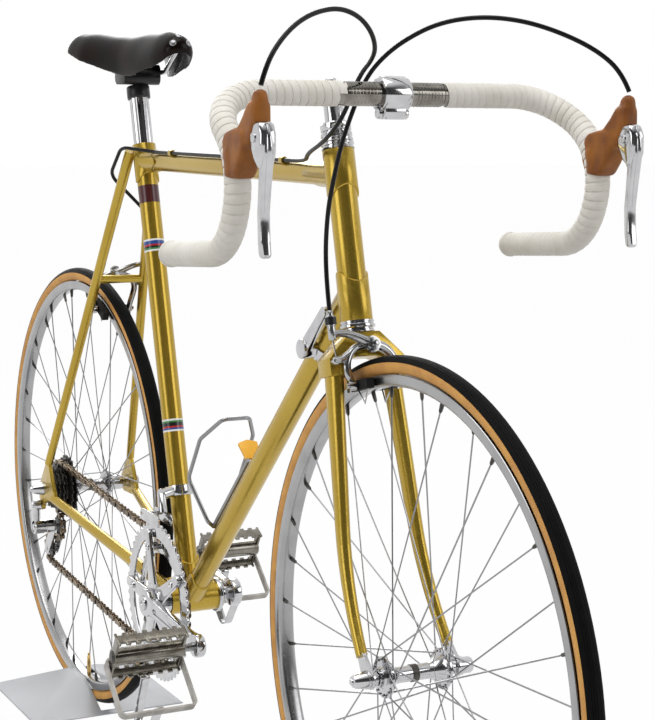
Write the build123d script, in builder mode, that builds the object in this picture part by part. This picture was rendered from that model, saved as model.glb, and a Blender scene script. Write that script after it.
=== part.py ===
from build123d import *
import os
from math import acos, atan2, cos, hypot, pi, radians, sin, sqrt, tan

# Road racing bicycle in millimetres: X forward, Y to the rider's left, Z up.
# The origin is on the floor, midway between the axles.

# Wheels
wheel_radius = 336.0
tyre_height = 20.0
tyre_bed_radius = wheel_radius - tyre_height
tyre_bed_half_width = 7.0
tyre_facets = 6
rim_width = 20.0
rim_depth = 14.0
rim_waist = 12.0
rim_wall = 3.0
spoke_count = 36
spoke_radius = 1.0
spoke_cross_angle = 60.0
spoke_hole_radius = 19.0
spoke_rim_offset = 3.0
spoke_end_gap = 0.2
spoke_outer_lift = 1.5
spoke_inner_lift = 0.2
flange_radius = 22.0
flange_thickness = 3.0
hub_barrel_radius = 9.0
hub_end_radius = 10.0
axle_radius = 5.0
running_clearance = 0.05
front_flange_offset = 35.0
front_over_locknuts = 100.0
rear_over_locknuts = 126.0
rear_flange_right = 21.0
rear_flange_left = 34.0
locknut_radius = 8.0
locknut_width = 5.0
hub_end_gap = 1.0
skewer_nut_radius = 10.0
skewer_nut_length = 18.0
skewer_nut_taper = 14.0
skewer_lever_length = 48.0
skewer_lever_width = 11.0

# Frame layout
stay_clearance = 86.0
chainstay_length = wheel_radius + stay_clearance
bb_drop = 72.0
toe_clearance = 265.0
front_centre = wheel_radius + toe_clearance
seat_angle = 74.0
head_angle = 74.75
fork_rake = 39.0
seat_tube_length = 626.0
crown_clearance = 45.0
fork_length = wheel_radius + crown_clearance
head_tube_length = 191.0
top_tube_below_seat_top = 22.0
top_tube_below_head_top = 28.0
down_tube_above_head_low = 32.0

# Frame tubes
head_tube_radius = 15.9
head_tube_bore = 14.9
top_tube_radius = 12.7
main_tube_radius = 14.3
tube_wall = 0.9
lug_wall = 2.0
braze_gap = 0.1
lug_straight = 26.0
lug_point = 26.0
head_lug_height = 40.0
bb_shell_radius = 20.0
bb_shell_width = 68.0
bb_shell_bore = 17.0
bb_socket_length = 44.0
chain_stay_side = 15.0
chain_stay_radius = 9.5
chain_stay_tip_radius = 7.0
seat_stay_radius = 7.5
seat_stay_tip_radius = 6.0
seat_stay_top_side = 17.0
seat_stay_top_back = 10.0
dropout_thickness = 6.0
dropout_radius = 15.0
dropout_stay_reach = 46.0
dropout_inset = 1.2
hanger_radius = 7.5
hanger_neck_radius = 12.0
bridge_radius = 6.0
chain_bridge_reach = 54.0
seat_post_radius = 13.6
post_clearance = 0.05
binder_radius = 6.0
binder_width = 34.0
bb_lockring_radius = 23.0
bb_cup_radius = 18.0
bb_cup_reach = 44.0
bb_lockring_width = 5.0

# Head set and fork
steerer_radius = 12.7
quill_radius = 11.1
upper_stack = 30.0
cup_height = 8.0
cup_radius = 18.5
race_gap = 0.35
race_inset = 1.5
race_height = 11.0
washer_radius = 15.0
washer_height = 2.5
locknut_size = 18.0
lower_stack = 13.0
lower_cup_radius = 20.0
crown_height = 27.0
crown_socket = 19.0
crown_half_depth = 15.0
crown_shoulder = 46.0
crown_neck = 19.0
crown_step = 4.0
crown_arch = 6.0
steerer_root = 8.0
steerer_below_top = 6.0
blade_top_side = 35.0
blade_half_depth = 13.5
blade_half_width = 9.5
blade_tip_radius = 6.3
blade_tip_along = 24.0
rake_start = 160.0
rake_stations = 7
fork_tip_thickness = 4.5
fork_tip_radius = 11.0

# Bar, stem and levers
bar_height = 64.0
stem_reach = 135.0
stem_radius = 12.0
stem_clamp_radius = 19.0
stem_clamp_width = 32.0
bar_sleeve_radius = 12.7
bar_sleeve_half = 58.0
bar_radius = 11.9
bar_half_width = 210.0
bar_ramp_reach = 88.0
bar_ramp_drop = 68.0
bar_hook_back = 30.0
bar_drop = 156.0
bar_end_back = 87.0
bar_end_fall = 12.0
bar_bend_radius = 62.0
bar_hook_radius = 64.0
tape_radius = 13.2
bar_plug_radius = 14.2
bar_plug_length = 8.0
hood_width = 29.0
hood_corner = 4.0
lever_width = 11.0
lever_corner = 2.0
hood_exit_ahead = 126.0
hood_exit_rise = 6.1
housing_radius = 2.5
cord_bend_share = 0.45
clip_side = 9.0
clip_sink = 2.0
clip_half = 4.0
clip_wall = 1.8
clip_runs = (0.2, 0.5, 0.78)
first_clip_back = 110.0
last_clip_ahead = 60.0
clip_lead = 42.0
adjuster_run = 45.0
seat_pass_ahead = 10.0
seat_pass_side = 34.0
seat_pass_rise = 6.0
stay_pass_back = 26.0
stay_pass_down = 50.0
stay_pass_side = 30.0
stop_run = 46.0
stay_housing_bends = (60.0, 30.0, 30.0, 30.0)

# Gear controls
shift_along = 546.0
shift_band = 16.0
shift_band_wall = 2.0
shift_boss_radius = 11.0
shift_boss_width = 16.0
shift_lever_length = 68.0
shift_tip_radius = 5.0
shift_lever_thick = 5.0
mech_band_along = 145.0
mech_band = 14.0
mech_band_wall = 3.0
mech_arm_radius = 8.0
mech_arm_ahead = 12.0
mech_root_ahead = 4.0
mech_knee_drop = 4.0
mech_link_radius = 6.0
mech_arm_side = 32.0
mech_cage_back = 14.0
mech_cage_rise = 7.0
mech_cage_gap = 2.0
mech_cage_length = 64.0
mech_cage_height = 16.0
mech_plate = 1.5

# Brakes
pad_line = tyre_bed_radius - rim_depth / 2
brake_below_crown = 16.0
brake_rise = fork_length - lower_stack - brake_below_crown
front_pad_reach = brake_rise - pad_line
rear_pad_reach = 58.0
brake_bridge_reach = pad_line + rear_pad_reach
arm_width = 9.0
arm_thickness = 6.5
arm_bulge = 4.0
yoke_tilt = 20.0
arm_gap = 1.0
pad_gap = 2.0
pad_thickness = 9.0
pad_length = 46.0
pad_height = 11.0
arm_pad_lap = 1.0
pivot_radius = 5.0
pivot_nut_radius = 9.0
pivot_nut_height = 4.0
cable_side = 46.0
adjuster_radius = 5.0
adjuster_length = 34.0

# Drive
crank_length = 170.0
crank_angle = -4.0
chain_side = 41.0
ring_spacing = 7.0
ring_thickness = 3.0
chain_pitch = 12.7
inner_teeth = 42
outer_teeth = 52
tooth_clear = 0.5
roller_radius = 3.9
tooth_height = 4.5
tooth_root_share = 0.36
tooth_tip_share = 0.12
bolt_circle_radius = 72.0
ring_inner_margin = 8.0
spider_thickness = 6.0
spider_arm_width = 17.0
spider_arms = 5
spider_hub_margin = 6.0
spider_past_bolt = 18.0
ring_bolt_margin = 2.0
ring_bolt_radius = 5.0
outer_ring_margin = 14.0
crank_inner_side = 56.0
crank_thickness = 13.0
crank_boss_radius = 19.0
crank_eye_radius = 14.5
flute_width = 10.0
flute_depth = 3.0
flute_margin = 12.0
spindle_radius = 8.5
sprocket_teeth = (14, 15, 17, 19, 21, 23)
sprocket_spacing = 5.5
sprocket_thickness = 2.0
drive_sprocket = 3
freewheel_core_radius = 24.0
freewheel_bore = 15.0
freewheel_carrier = 28.0
sprocket_overlap = 2.0
jockey_teeth = 10
guide_back = 10.0
guide_drop = 62.0
tension_back = 44.0
tension_drop = 106.0
hanger_back = 12.0
hanger_drop = 28.0
jockey_thickness = 4.0
jockey_cage_gap = 2.0
cage_plate = 2.0
jockey_bolt_radius = 3.0
mech_end_radius = 10.4
mech_bolt_radius = 9.0
mech_bolt_length = 14.0
mech_body_gap = 2.0
mech_knuckle_radius = 10.0
mech_body_back = 6.0
mech_body_radius = 13.0
mech_body_thick = 10.0
mech_pivot_radius = 11.0
chain_inner_half = 2.6
chain_outer_half = 4.2
chain_link_height = 8.4
pedal_axle_radius = 5.5
pedal_inner_side = 84.0
pedal_length = 92.0
pedal_half_depth = 29.0
pedal_plate_height = 20.0
pedal_plate = 3.0
pedal_end_height = 12.0
plate_notches = 7
notch_width = 7.0
notch_depth = 4.0
pedal_body_radius = 11.0
pedal_hang_angle = -118.0
clip_reach = 108.0
clip_height = 52.0
clip_width = 12.0
clip_thick = 2.0
clip_toe_back = 10.0
clip_toe_rise = 14.0
clip_top_ahead = 4.0
clip_top_rise = 10.0
toe_clip_bends = (6.0, 14.0, 16.0)
strap_width = 11.0
strap_thick = 2.6
strap_low = 12.5
strap_low_ahead = 18.0
strap_top_ahead = 8.0
strap_top_rise = 12.7
strap_side = 4.5
strap_corner = 8.0

# Saddle
saddle_leather = 4.5
saddle_shoulder = 0.72
saddle_crown = 0.14
rail_radius = 3.5
post_show = 96.0
post_in_frame = 70.0
rail_above_post = 8.0
rail_half_gap = 22.0
rail_nose_ahead = 138.0
rail_nose_side = 9.0
rail_nose_rise = 36.0
rail_flat_ahead = 49.0
rail_flat_back = 33.0
rail_tail_back = 86.0
rail_tail_side = 44.0
rail_tail_rise = 47.0
rail_nose_bend = 30.0
rail_tail_bend = 25.0
clamp_length = 38.0
clamp_height = 28.0
clamp_corner = 9.0
clamp_lip = 1.0

# Bottle cage and floor stand
cage_wire_radius = 2.6
cage_foot = 150.0
cage_flare = 10.0
cage_head = 300.0
cage_rail_side = 8.0
cage_knee = 184.0
cage_shoulder = 252.0
cage_crown = 292.0
cage_out = 72.0
cage_lean = 14.0
cage_half = 37.0
cage_bends = (6.0, 14.0, 18.0, 10.0)
tab_back = 4.0
tab_foot = 10.0
tab_half = 13.0
tab_high = 48.0
tab_bow = 4.0
tab_corner = 2.0
tab_thick = 4.0
stand_length = 214.0
stand_width = 240.0
stand_height = 73.0
stand_top_length = 54.0
stand_top_width = 50.0
stand_sheet = 2.5
stand_foot = 16.0
stand_lip = 8.0
stand_grip = 0.4

os.makedirs("parts", exist_ok=True)


def finish(made, name):
    """Label a finished piece and write it as a STEP file."""
    made.part.label = name
    export_step(made.part, f"parts/{name}.step")


def rod(start, end, radius, bore=0.0):
    """Round bar, or a tube when a bore is given."""
    axis = end - start
    with BuildPart() as made:
        with BuildSketch(Plane(origin=start, z_dir=axis)):
            Circle(radius)
            if bore > 0:
                Circle(bore, mode=Mode.SUBTRACT)
        extrude(amount=axis.length)
    return made.part


def taper(start, end, first, last):
    """Round bar whose radius changes evenly from first to last."""
    axis = end - start
    with BuildPart() as made:
        with Locations(Plane(origin=start, z_dir=axis).location):
            Cone(first, last, axis.length, align=(Align.CENTER, Align.CENTER, Align.MIN))
    return made.part


def wire(points, radii, radius):
    """Round wire along straight runs joined by arcs."""
    with BuildPart() as made:
        with BuildLine() as path:
            FilletPolyline(*points, radius=radii)
        with BuildSketch(Plane(origin=path.line @ 0, z_dir=path.line % 0)):
            Circle(radius)
        sweep(path=path.line)
    return made.part


def cord(points, radius):
    """Cord along hand-chosen points, each bend as large as its two runs allow."""
    radii = []
    for before, here, after in zip(points, points[1:], points[2:]):
        shorter = min((here - before).length, (after - here).length)
        turn = radians((here - before).get_angle(after - here))
        radii.append(cord_bend_share * shorter / tan(turn / 2))
    print("cord bends", [round(r) for r in radii])
    return wire(points, radii, radius)


def cross_disc(centre, radius, side_a, side_b, bore=0.0):
    """Disc on a Y axis between two side positions."""
    low = min(side_a, side_b)
    high = max(side_a, side_b)
    return rod(Vector(centre.X, low, centre.Z), Vector(centre.X, high, centre.Z), radius, bore)


def lug_sleeve(origin, axis, inner, outer, straight, point):
    """Lug socket: a sleeve along an axis, ending in a point on each side."""
    whole = straight + point
    with BuildPart() as made:
        with BuildSketch(Plane(origin=origin, z_dir=axis)):
            Circle(outer)
            Circle(inner, mode=Mode.SUBTRACT)
        extrude(amount=whole)
        with BuildSketch(Plane(origin=origin, x_dir=axis, z_dir=Vector(0, 1, 0))):
            Polygon(
                (0, -2 * outer), (straight, -2 * outer), (straight, -outer), (whole, -outer / 6),
                (whole, outer / 6), (straight, outer), (straight, 2 * outer), (0, 2 * outer), align=None,
            )
        extrude(amount=2 * outer, both=True, mode=Mode.INTERSECT)
    return made.part


# Layout points
rear_run = sqrt(chainstay_length ** 2 - bb_drop ** 2)
front_run = sqrt(front_centre ** 2 - bb_drop ** 2)
wheelbase = rear_run + front_run
across = Vector(0, 1, 0)
up = Vector(0, 0, 1)
ahead = Vector(1, 0, 0)
rear_axle = Vector(-wheelbase / 2, 0, wheel_radius)
front_axle = Vector(wheelbase / 2, 0, wheel_radius)
bb = Vector(-wheelbase / 2 + rear_run, 0, wheel_radius - bb_drop)
seat_up = Vector(-cos(radians(seat_angle)), 0, sin(radians(seat_angle)))
seat_fwd = Vector(sin(radians(seat_angle)), 0, cos(radians(seat_angle)))
steer_up = Vector(-cos(radians(head_angle)), 0, sin(radians(head_angle)))
steer_fwd = Vector(sin(radians(head_angle)), 0, cos(radians(head_angle)))
steer_foot = front_axle - steer_fwd * fork_rake


def on_steer(along, fwd=0.0, side=0.0):
    """Point at a height along the steering axis, ahead of it and to a side."""
    return steer_foot + steer_up * along + steer_fwd * fwd + across * side


def on_seat(along, fwd=0.0, side=0.0):
    """Point along the seat tube, ahead of it and to a side."""
    return bb + seat_up * along + seat_fwd * fwd + across * side


head_low = fork_length
head_high = fork_length + head_tube_length
tt_seat = on_seat(seat_tube_length - top_tube_below_seat_top)
tt_head = on_steer(head_high - top_tube_below_head_top)
dt_head = on_steer(head_low + down_tube_above_head_low)
tt_dir = (tt_head - tt_seat).normalized()
dt_dir = (dt_head - bb).normalized()
dt_out = Vector(-dt_dir.Z, 0, dt_dir.X)


def on_down(along, out=0.0, side=0.0):
    """Point along the down tube, out from it on the saddle side and to a side."""
    return bb + dt_dir * along + dt_out * out + across * side


# Solid stand-ins of the tubes, used to mitre what meets them
seat_core = rod(on_seat(0), on_seat(seat_tube_length + lug_point), main_tube_radius)
head_core = rod(on_steer(head_low - lug_point), on_steer(head_high + lug_point), head_tube_radius)
shell_core = cross_disc(bb, bb_shell_radius, -bb_shell_width / 2, bb_shell_width / 2)
top_core = rod(tt_seat, tt_head, top_tube_radius + braze_gap)
down_core = rod(bb, dt_head, main_tube_radius + braze_gap)
seat_skin = rod(on_seat(0), on_seat(seat_tube_length + lug_point), main_tube_radius + braze_gap)
head_skin = rod(on_steer(head_low - lug_point), on_steer(head_high + lug_point), head_tube_radius + braze_gap)

# Main tubes
with BuildPart() as seat_tube:
    add(rod(on_seat(0), on_seat(seat_tube_length), main_tube_radius, seat_post_radius + post_clearance))
    add(shell_core, mode=Mode.SUBTRACT)

with BuildPart() as head_tube:
    add(rod(on_steer(head_low), on_steer(head_high), head_tube_radius, head_tube_bore))

with BuildPart() as top_tube:
    add(rod(tt_seat, tt_head, top_tube_radius, top_tube_radius - tube_wall))
    add(seat_core, mode=Mode.SUBTRACT)
    add(head_core, mode=Mode.SUBTRACT)

with BuildPart() as down_tube:
    add(rod(bb, dt_head, main_tube_radius, main_tube_radius - tube_wall))
    add(seat_core, mode=Mode.SUBTRACT)
    add(head_core, mode=Mode.SUBTRACT)
    add(shell_core, mode=Mode.SUBTRACT)

# Lugs and bottom bracket shell
with BuildPart() as upper_lug:
    add(lug_sleeve(on_steer(head_high), -steer_up, head_tube_radius + braze_gap,
                   head_tube_radius + lug_wall, head_lug_height, lug_point / 2))
    add(lug_sleeve(tt_head, -tt_dir, top_tube_radius + braze_gap, top_tube_radius + lug_wall,
                   head_tube_radius + lug_straight, lug_point))
    add(head_skin, mode=Mode.SUBTRACT)
    add(top_core, mode=Mode.SUBTRACT)

with BuildPart() as lower_lug:
    add(lug_sleeve(on_steer(head_low), steer_up, head_tube_radius + braze_gap,
                   head_tube_radius + lug_wall, head_lug_height + lug_wall, lug_point / 2))
    add(lug_sleeve(dt_head, -dt_dir, main_tube_radius + braze_gap, main_tube_radius + lug_wall,
                   head_tube_radius + lug_straight, lug_point))
    add(head_skin, mode=Mode.SUBTRACT)
    add(down_core, mode=Mode.SUBTRACT)

binder_at = on_seat(seat_tube_length - binder_radius, -main_tube_radius - binder_radius - lug_wall / 2)
with BuildPart() as seat_lug:
    add(lug_sleeve(on_seat(seat_tube_length), -seat_up, main_tube_radius + braze_gap,
                   main_tube_radius + lug_wall, head_lug_height, lug_point / 2))
    add(lug_sleeve(tt_seat, tt_dir, top_tube_radius + braze_gap, top_tube_radius + lug_wall,
                   main_tube_radius + lug_straight, lug_point))
    add(cross_disc(binder_at, binder_radius, -binder_width / 2, binder_width / 2))
    add(seat_skin, mode=Mode.SUBTRACT)
    add(top_core, mode=Mode.SUBTRACT)

with BuildPart() as lugs:
    for piece in (upper_lug, lower_lug, seat_lug):
        add(piece.part)

with BuildPart() as bb_shell:
    add(shell_core)
    add(lug_sleeve(bb, seat_up, main_tube_radius + braze_gap, main_tube_radius + lug_wall,
                   bb_socket_length, lug_point / 2))
    add(lug_sleeve(bb, dt_dir, main_tube_radius + braze_gap, main_tube_radius + lug_wall,
                   bb_socket_length, lug_point / 2))
    add(rod(on_seat(bb_shell_radius), on_seat(seat_tube_length), main_tube_radius + braze_gap),
        mode=Mode.SUBTRACT)
    add(rod(on_down(bb_shell_radius), dt_head, main_tube_radius + braze_gap), mode=Mode.SUBTRACT)
    add(cross_disc(bb, bb_shell_bore, -bb_shell_width, bb_shell_width), mode=Mode.SUBTRACT)
    add(seat_tube.part, mode=Mode.SUBTRACT)
    add(down_tube.part, mode=Mode.SUBTRACT)

# Rear triangle
drop_inner = rear_over_locknuts / 2
drop_mid = drop_inner + dropout_thickness / 2
cs_dir = Vector(bb.X - rear_axle.X, 0, bb.Z - rear_axle.Z).normalized()
ss_top = on_seat(seat_tube_length - binder_radius, -seat_stay_top_back)
ss_dir = Vector(ss_top.X - rear_axle.X, 0, ss_top.Z - rear_axle.Z).normalized()
ss_back = Vector(-ss_dir.Z, 0, ss_dir.X)
cs_end = rear_axle + cs_dir * dropout_stay_reach
ss_end = rear_axle + ss_dir * dropout_stay_reach

with BuildPart() as rear_stays:
    for side in (-1, 1):
        add(taper(bb + across * side * chain_stay_side, cs_end + across * side * drop_mid,
                  chain_stay_radius, chain_stay_tip_radius))
    add(bb_shell.part, mode=Mode.SUBTRACT)
    add(shell_core, mode=Mode.SUBTRACT)
    for side in (-1, 1):
        add(taper(ss_top + across * side * seat_stay_top_side, ss_end + across * side * drop_mid,
                  seat_stay_radius, seat_stay_tip_radius))
    for solid in lugs.part.solids():
        add(solid, mode=Mode.SUBTRACT)
    add(seat_skin, mode=Mode.SUBTRACT)

with BuildPart() as rear_dropouts:
    hanger_at = rear_axle + Vector(-hanger_back, 0, -hanger_drop)
    for side in (-1, 1):
        with BuildSketch(Plane(origin=across * side * drop_inner, x_dir=ahead, z_dir=across * -1)):
            with Locations((rear_axle.X, rear_axle.Z)):
                Circle(dropout_radius)
            with Locations((cs_end.X, cs_end.Z)):
                Circle(chain_stay_tip_radius - dropout_inset)
            with Locations((ss_end.X, ss_end.Z)):
                Circle(seat_stay_tip_radius - dropout_inset)
            make_hull()
            if side < 0:
                with Locations((hanger_at.X, hanger_at.Z)):
                    Circle(hanger_radius)
                with Locations(((rear_axle.X + hanger_at.X) / 2, (rear_axle.Z + hanger_at.Z) / 2)):
                    Circle(hanger_neck_radius)
            with Locations((rear_axle.X, rear_axle.Z)):
                Circle(axle_radius, mode=Mode.SUBTRACT)
        extrude(amount=-side * dropout_thickness)
    for solid in rear_stays.part.solids():
        add(solid, mode=Mode.SUBTRACT)

bridge_at = rear_axle + ss_dir * brake_bridge_reach
with BuildPart() as braze_ons:
    add(cross_disc(bridge_at, bridge_radius, -drop_mid, drop_mid))
    add(cross_disc(bb - cs_dir * chain_bridge_reach, bridge_radius, -drop_mid, drop_mid))
    for solid in rear_stays.part.solids():
        add(solid, mode=Mode.SUBTRACT)
kept = [s for s in braze_ons.part.solids() if abs(s.center().Y) < bridge_radius]
with BuildPart() as braze_ons:
    for solid in kept:
        add(solid)
    for share in clip_runs:
        spot = tt_seat + (tt_head - tt_seat) * share
        spot += Vector(0, -clip_side, top_tube_radius + housing_radius - clip_sink)
        add(rod(spot - tt_dir * clip_half, spot + tt_dir * clip_half, housing_radius + clip_wall))
        add(rod(spot - tt_dir * 2 * clip_half, spot + tt_dir * 2 * clip_half, housing_radius + braze_gap),
            mode=Mode.SUBTRACT)
    add(rod(tt_seat, tt_head, top_tube_radius), mode=Mode.SUBTRACT)

# Head set, fork crown and blades
with BuildPart() as bearing_cups:
    add(rod(on_steer(head_high), on_steer(head_high + cup_height), cup_radius,
            steerer_radius + running_clearance))
    add(rod(on_steer(head_low - cup_height), on_steer(head_low), lower_cup_radius,
            steerer_radius + running_clearance))
    add(cross_disc(bb, bb_shell_bore, -bb_shell_width / 2, bb_shell_width / 2,
                   spindle_radius + running_clearance))
    add(cross_disc(bb, bb_lockring_radius, bb_shell_width / 2, bb_shell_width / 2 + bb_lockring_width,
                   spindle_radius + running_clearance))
    add(cross_disc(bb, bb_cup_radius, bb_shell_width / 2 + bb_lockring_width, bb_cup_reach,
                   spindle_radius + running_clearance))

crown_top = head_low - lower_stack
crown_low = crown_top - crown_height
socket_low = crown_low - crown_socket
leg_side = blade_top_side - blade_half_width
with BuildPart() as fork_crown:
    with BuildSketch(Plane(origin=steer_foot, x_dir=across, z_dir=steer_fwd)):
        Polygon(
            (-crown_shoulder, socket_low), (-crown_shoulder, crown_low), (-crown_neck, crown_top),
            (crown_neck, crown_top), (crown_shoulder, crown_low), (crown_shoulder, socket_low),
            (leg_side, socket_low), (leg_side, crown_low - crown_step), (crown_neck - crown_arch, crown_low),
            (crown_arch - crown_neck, crown_low), (-leg_side, crown_low - crown_step), (-leg_side, socket_low),
            align=None,
        )
    extrude(amount=crown_half_depth, both=True)
    steerer_top = head_high + upper_stack - steerer_below_top
    add(rod(on_steer(crown_low + steerer_root), on_steer(steerer_top), steerer_radius))
    add(rod(on_steer(crown_top), on_steer(head_high + upper_stack), quill_radius + post_clearance),
        mode=Mode.SUBTRACT)
    bolt_reach = 2 * crown_half_depth
    bolt_ends = [on_steer(brake_rise, reach) for reach in (-bolt_reach, bolt_reach)]
    add(rod(*bolt_ends, pivot_radius), mode=Mode.SUBTRACT)

with BuildPart() as headset_races:
    race_top = head_low - cup_height - race_gap
    add(rod(on_steer(crown_top), on_steer(race_top), lower_cup_radius - race_inset, steerer_radius))
    race_low = head_high + cup_height + race_gap
    washer_low = head_high + cup_height + race_height
    add(rod(on_steer(race_low), on_steer(washer_low), cup_radius - race_inset, steerer_radius))
    add(rod(on_steer(washer_low), on_steer(washer_low + washer_height), washer_radius, steerer_radius))
    with BuildSketch(Plane(origin=on_steer(washer_low + washer_height), x_dir=across, z_dir=steer_up)):
        RegularPolygon(locknut_size, 6)
        Circle(steerer_radius, mode=Mode.SUBTRACT)
    extrude(amount=upper_stack - cup_height - race_height - washer_height)


def blade_ahead(along):
    """Forward offset of the raked blade at a height along the steering axis."""
    if along >= rake_start:
        return 0.0
    return fork_rake * ((rake_start - along) / rake_start) ** 2


def blade_side(along):
    """Side offset of a blade at a height along the steering axis."""
    tip_side = front_over_locknuts / 2 + fork_tip_thickness / 2
    share = (socket_low - along) / (socket_low - blade_tip_along)
    return blade_top_side + (tip_side - blade_top_side) * share


blade_steps = [socket_low, rake_start]
rake_step = (rake_start - blade_tip_along) / rake_stations
blade_steps += [rake_start - rake_step * i for i in range(1, rake_stations + 1)]


def fork_blade(side):
    """Oval blade, tapering and raked, from the crown's socket to the tip."""
    with BuildPart() as made:
        for along in blade_steps:
            share = (socket_low - along) / (socket_low - blade_tip_along)
            slope = 2 * fork_rake * max(rake_start - along, 0) / rake_start ** 2
            lean = (steer_up - steer_fwd * slope).normalized()
            centre = on_steer(along, blade_ahead(along), side * blade_side(along))
            with BuildSketch(Plane(origin=centre, x_dir=across, z_dir=lean)):
                Ellipse(blade_half_width + (blade_tip_radius - blade_half_width) * share,
                        blade_half_depth + (blade_tip_radius - blade_half_depth) * share)
        loft(ruled=True)
    return made.part


with BuildPart() as fork_blades:
    for side in (-1, 1):
        add(fork_blade(side))
    add(fork_crown.part, mode=Mode.SUBTRACT)

with BuildPart() as fork_tips:
    blade_end = on_steer(blade_tip_along, blade_ahead(blade_tip_along))
    for side in (-1, 1):
        inner_face = across * side * front_over_locknuts / 2
        with BuildSketch(Plane(origin=inner_face, x_dir=ahead, z_dir=across * -1)):
            with Locations((front_axle.X, front_axle.Z)):
                Circle(fork_tip_radius)
            with Locations((blade_end.X, blade_end.Z)):
                Circle(blade_tip_radius)
            make_hull()
            with Locations((front_axle.X, front_axle.Z)):
                Circle(axle_radius, mode=Mode.SUBTRACT)
            with Locations((front_axle.X, front_axle.Z - fork_tip_radius)):
                Rectangle(2 * axle_radius, 2 * fork_tip_radius, mode=Mode.SUBTRACT)
        extrude(amount=-side * fork_tip_thickness)
    add(fork_blades.part, mode=Mode.SUBTRACT)

# Stem and handlebar
stem_top = on_steer(head_high + bar_height)
bar_centre = stem_top + ahead * stem_reach
with BuildPart() as stem:
    add(rod(on_steer(head_high - cup_height), stem_top + steer_up * stem_radius, quill_radius))
    add(rod(stem_top - ahead * quill_radius, bar_centre, stem_radius))
    add(cross_disc(bar_centre, stem_clamp_radius, -stem_clamp_width / 2, stem_clamp_width / 2))
    add(cross_disc(bar_centre, bar_sleeve_radius, -stem_clamp_width, stem_clamp_width), mode=Mode.SUBTRACT)


def bar_path(side, start):
    """Corner points of one half of the drop bar."""
    c = bar_centre
    y = side * bar_half_width
    return [
        Vector(c.X, side * start, c.Z), Vector(c.X, y, c.Z),
        Vector(c.X + bar_ramp_reach, y, c.Z - bar_ramp_drop),
        Vector(c.X + bar_ramp_reach - bar_hook_back, y, c.Z - bar_drop),
        Vector(c.X - bar_end_back, y, c.Z - bar_drop - bar_end_fall),
    ]


bar_radii = [bar_bend_radius, bar_hook_radius, bar_hook_radius]
with BuildPart() as handlebar:
    add(cross_disc(bar_centre, bar_sleeve_radius, -bar_sleeve_half, bar_sleeve_half))
    for side in (-1, 1):
        add(wire(bar_path(side, bar_sleeve_half), bar_radii, bar_radius))

with BuildPart() as bar_tape:
    for side in (-1, 1):
        corners = bar_path(side, bar_sleeve_half)
        add(wire(corners, bar_radii, tape_radius))
        tail = (corners[-1] - corners[-2]).normalized()
        add(rod(corners[-1], corners[-1] + tail * bar_plug_length, bar_plug_radius))
    add(handlebar.part, mode=Mode.SUBTRACT)

# Hoods and levers, drawn from the side with the bar's centre as their origin
hood_outline = (
    (63, -93), (57, -66), (50, -52), (68, -30), (92, -27), (108, -14), (120, 5), (133, 5),
    (138, -6), (132, -32), (118, -50), (104, -72), (94, -93),
)
lever_outline = (
    (132, -5), (141, -10), (146, -26), (145, -62), (138, -104), (141, -146), (139, -154), (133, -152),
    (130, -104), (136, -66), (117, -56),
)


def beside_bar(outline, corner, width):
    """Rounded side outline, given equal width to both sides of the drop, on each side of the bar."""
    with BuildPart() as made:
        for side in (-1, 1):
            with BuildSketch(Plane(origin=across * (side * bar_half_width), x_dir=ahead, z_dir=across * -1)):
                with BuildLine():
                    FilletPolyline(*[(bar_centre.X + x, bar_centre.Z + z) for x, z in outline],
                                   radius=corner, close=True)
                make_face()
            extrude(amount=width / 2, both=True)
    return made.part


with BuildPart() as hoods:
    add(beside_bar(hood_outline, hood_corner, hood_width))
    add(bar_tape.part, mode=Mode.SUBTRACT)
    add(handlebar.part, mode=Mode.SUBTRACT)
kept = sorted(hoods.part.solids(), key=lambda s: s.volume)[-2:]
with BuildPart() as hoods:
    for solid in kept:
        add(solid)

with BuildPart() as brake_levers:
    add(beside_bar(lever_outline, lever_corner, lever_width))
    add(hoods.part, mode=Mode.SUBTRACT)
kept = sorted(brake_levers.part.solids(), key=lambda s: s.volume)[-2:]
with BuildPart() as brake_levers:
    for solid in kept:
        add(solid)

# Brakes


def cable_stop(base):
    """Point at the top of a caliper's cable adjuster."""
    rise = arm_width / 2 + adjuster_length
    return base.from_local_coords(Vector(-cable_side, rise, 1.5 * arm_thickness + arm_gap))


def caliper(base, reach):
    """Side-pull caliper in a plane whose X is to the pad side away from the cable and Y is up."""
    front = base.offset(arm_thickness + arm_gap)
    pad_side = rim_width / 2 + pad_gap + pad_thickness + arm_width / 2 - arm_pad_lap
    with BuildPart() as made:
        with BuildSketch(base):
            with BuildLine(mode=Mode.PRIVATE) as line:
                ThreePointArc((-pad_side, -reach), (-pad_side - arm_bulge, -reach / 3), (0, 0))
            SlotArc(line.edges()[0], arm_width)
            with Locations((-cable_side / 2, -arm_width)):
                SlotOverall(cable_side, arm_width, rotation=yoke_tilt)
        extrude(amount=arm_thickness)
        with BuildSketch(front):
            with BuildLine(mode=Mode.PRIVATE) as line:
                ThreePointArc((pad_side, -reach), (pad_side + arm_bulge, -reach / 3), (0, 0))
            SlotArc(line.edges()[0], arm_width)
            with Locations((-cable_side / 2, arm_width / 2)):
                SlotOverall(cable_side + arm_width, arm_width, rotation=-yoke_tilt)
        extrude(amount=arm_thickness)
        with BuildSketch(base.offset(-pivot_nut_radius)):
            Circle(pivot_radius)
        extrude(amount=2 * arm_thickness + 2 * pivot_nut_radius + arm_gap)
        with BuildSketch(front.offset(arm_thickness)):
            Circle(pivot_nut_radius)
        extrude(amount=pivot_nut_height)
        add(rod(cable_stop(base) - base.y_dir * adjuster_length, cable_stop(base), adjuster_radius))
    return made.part


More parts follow.
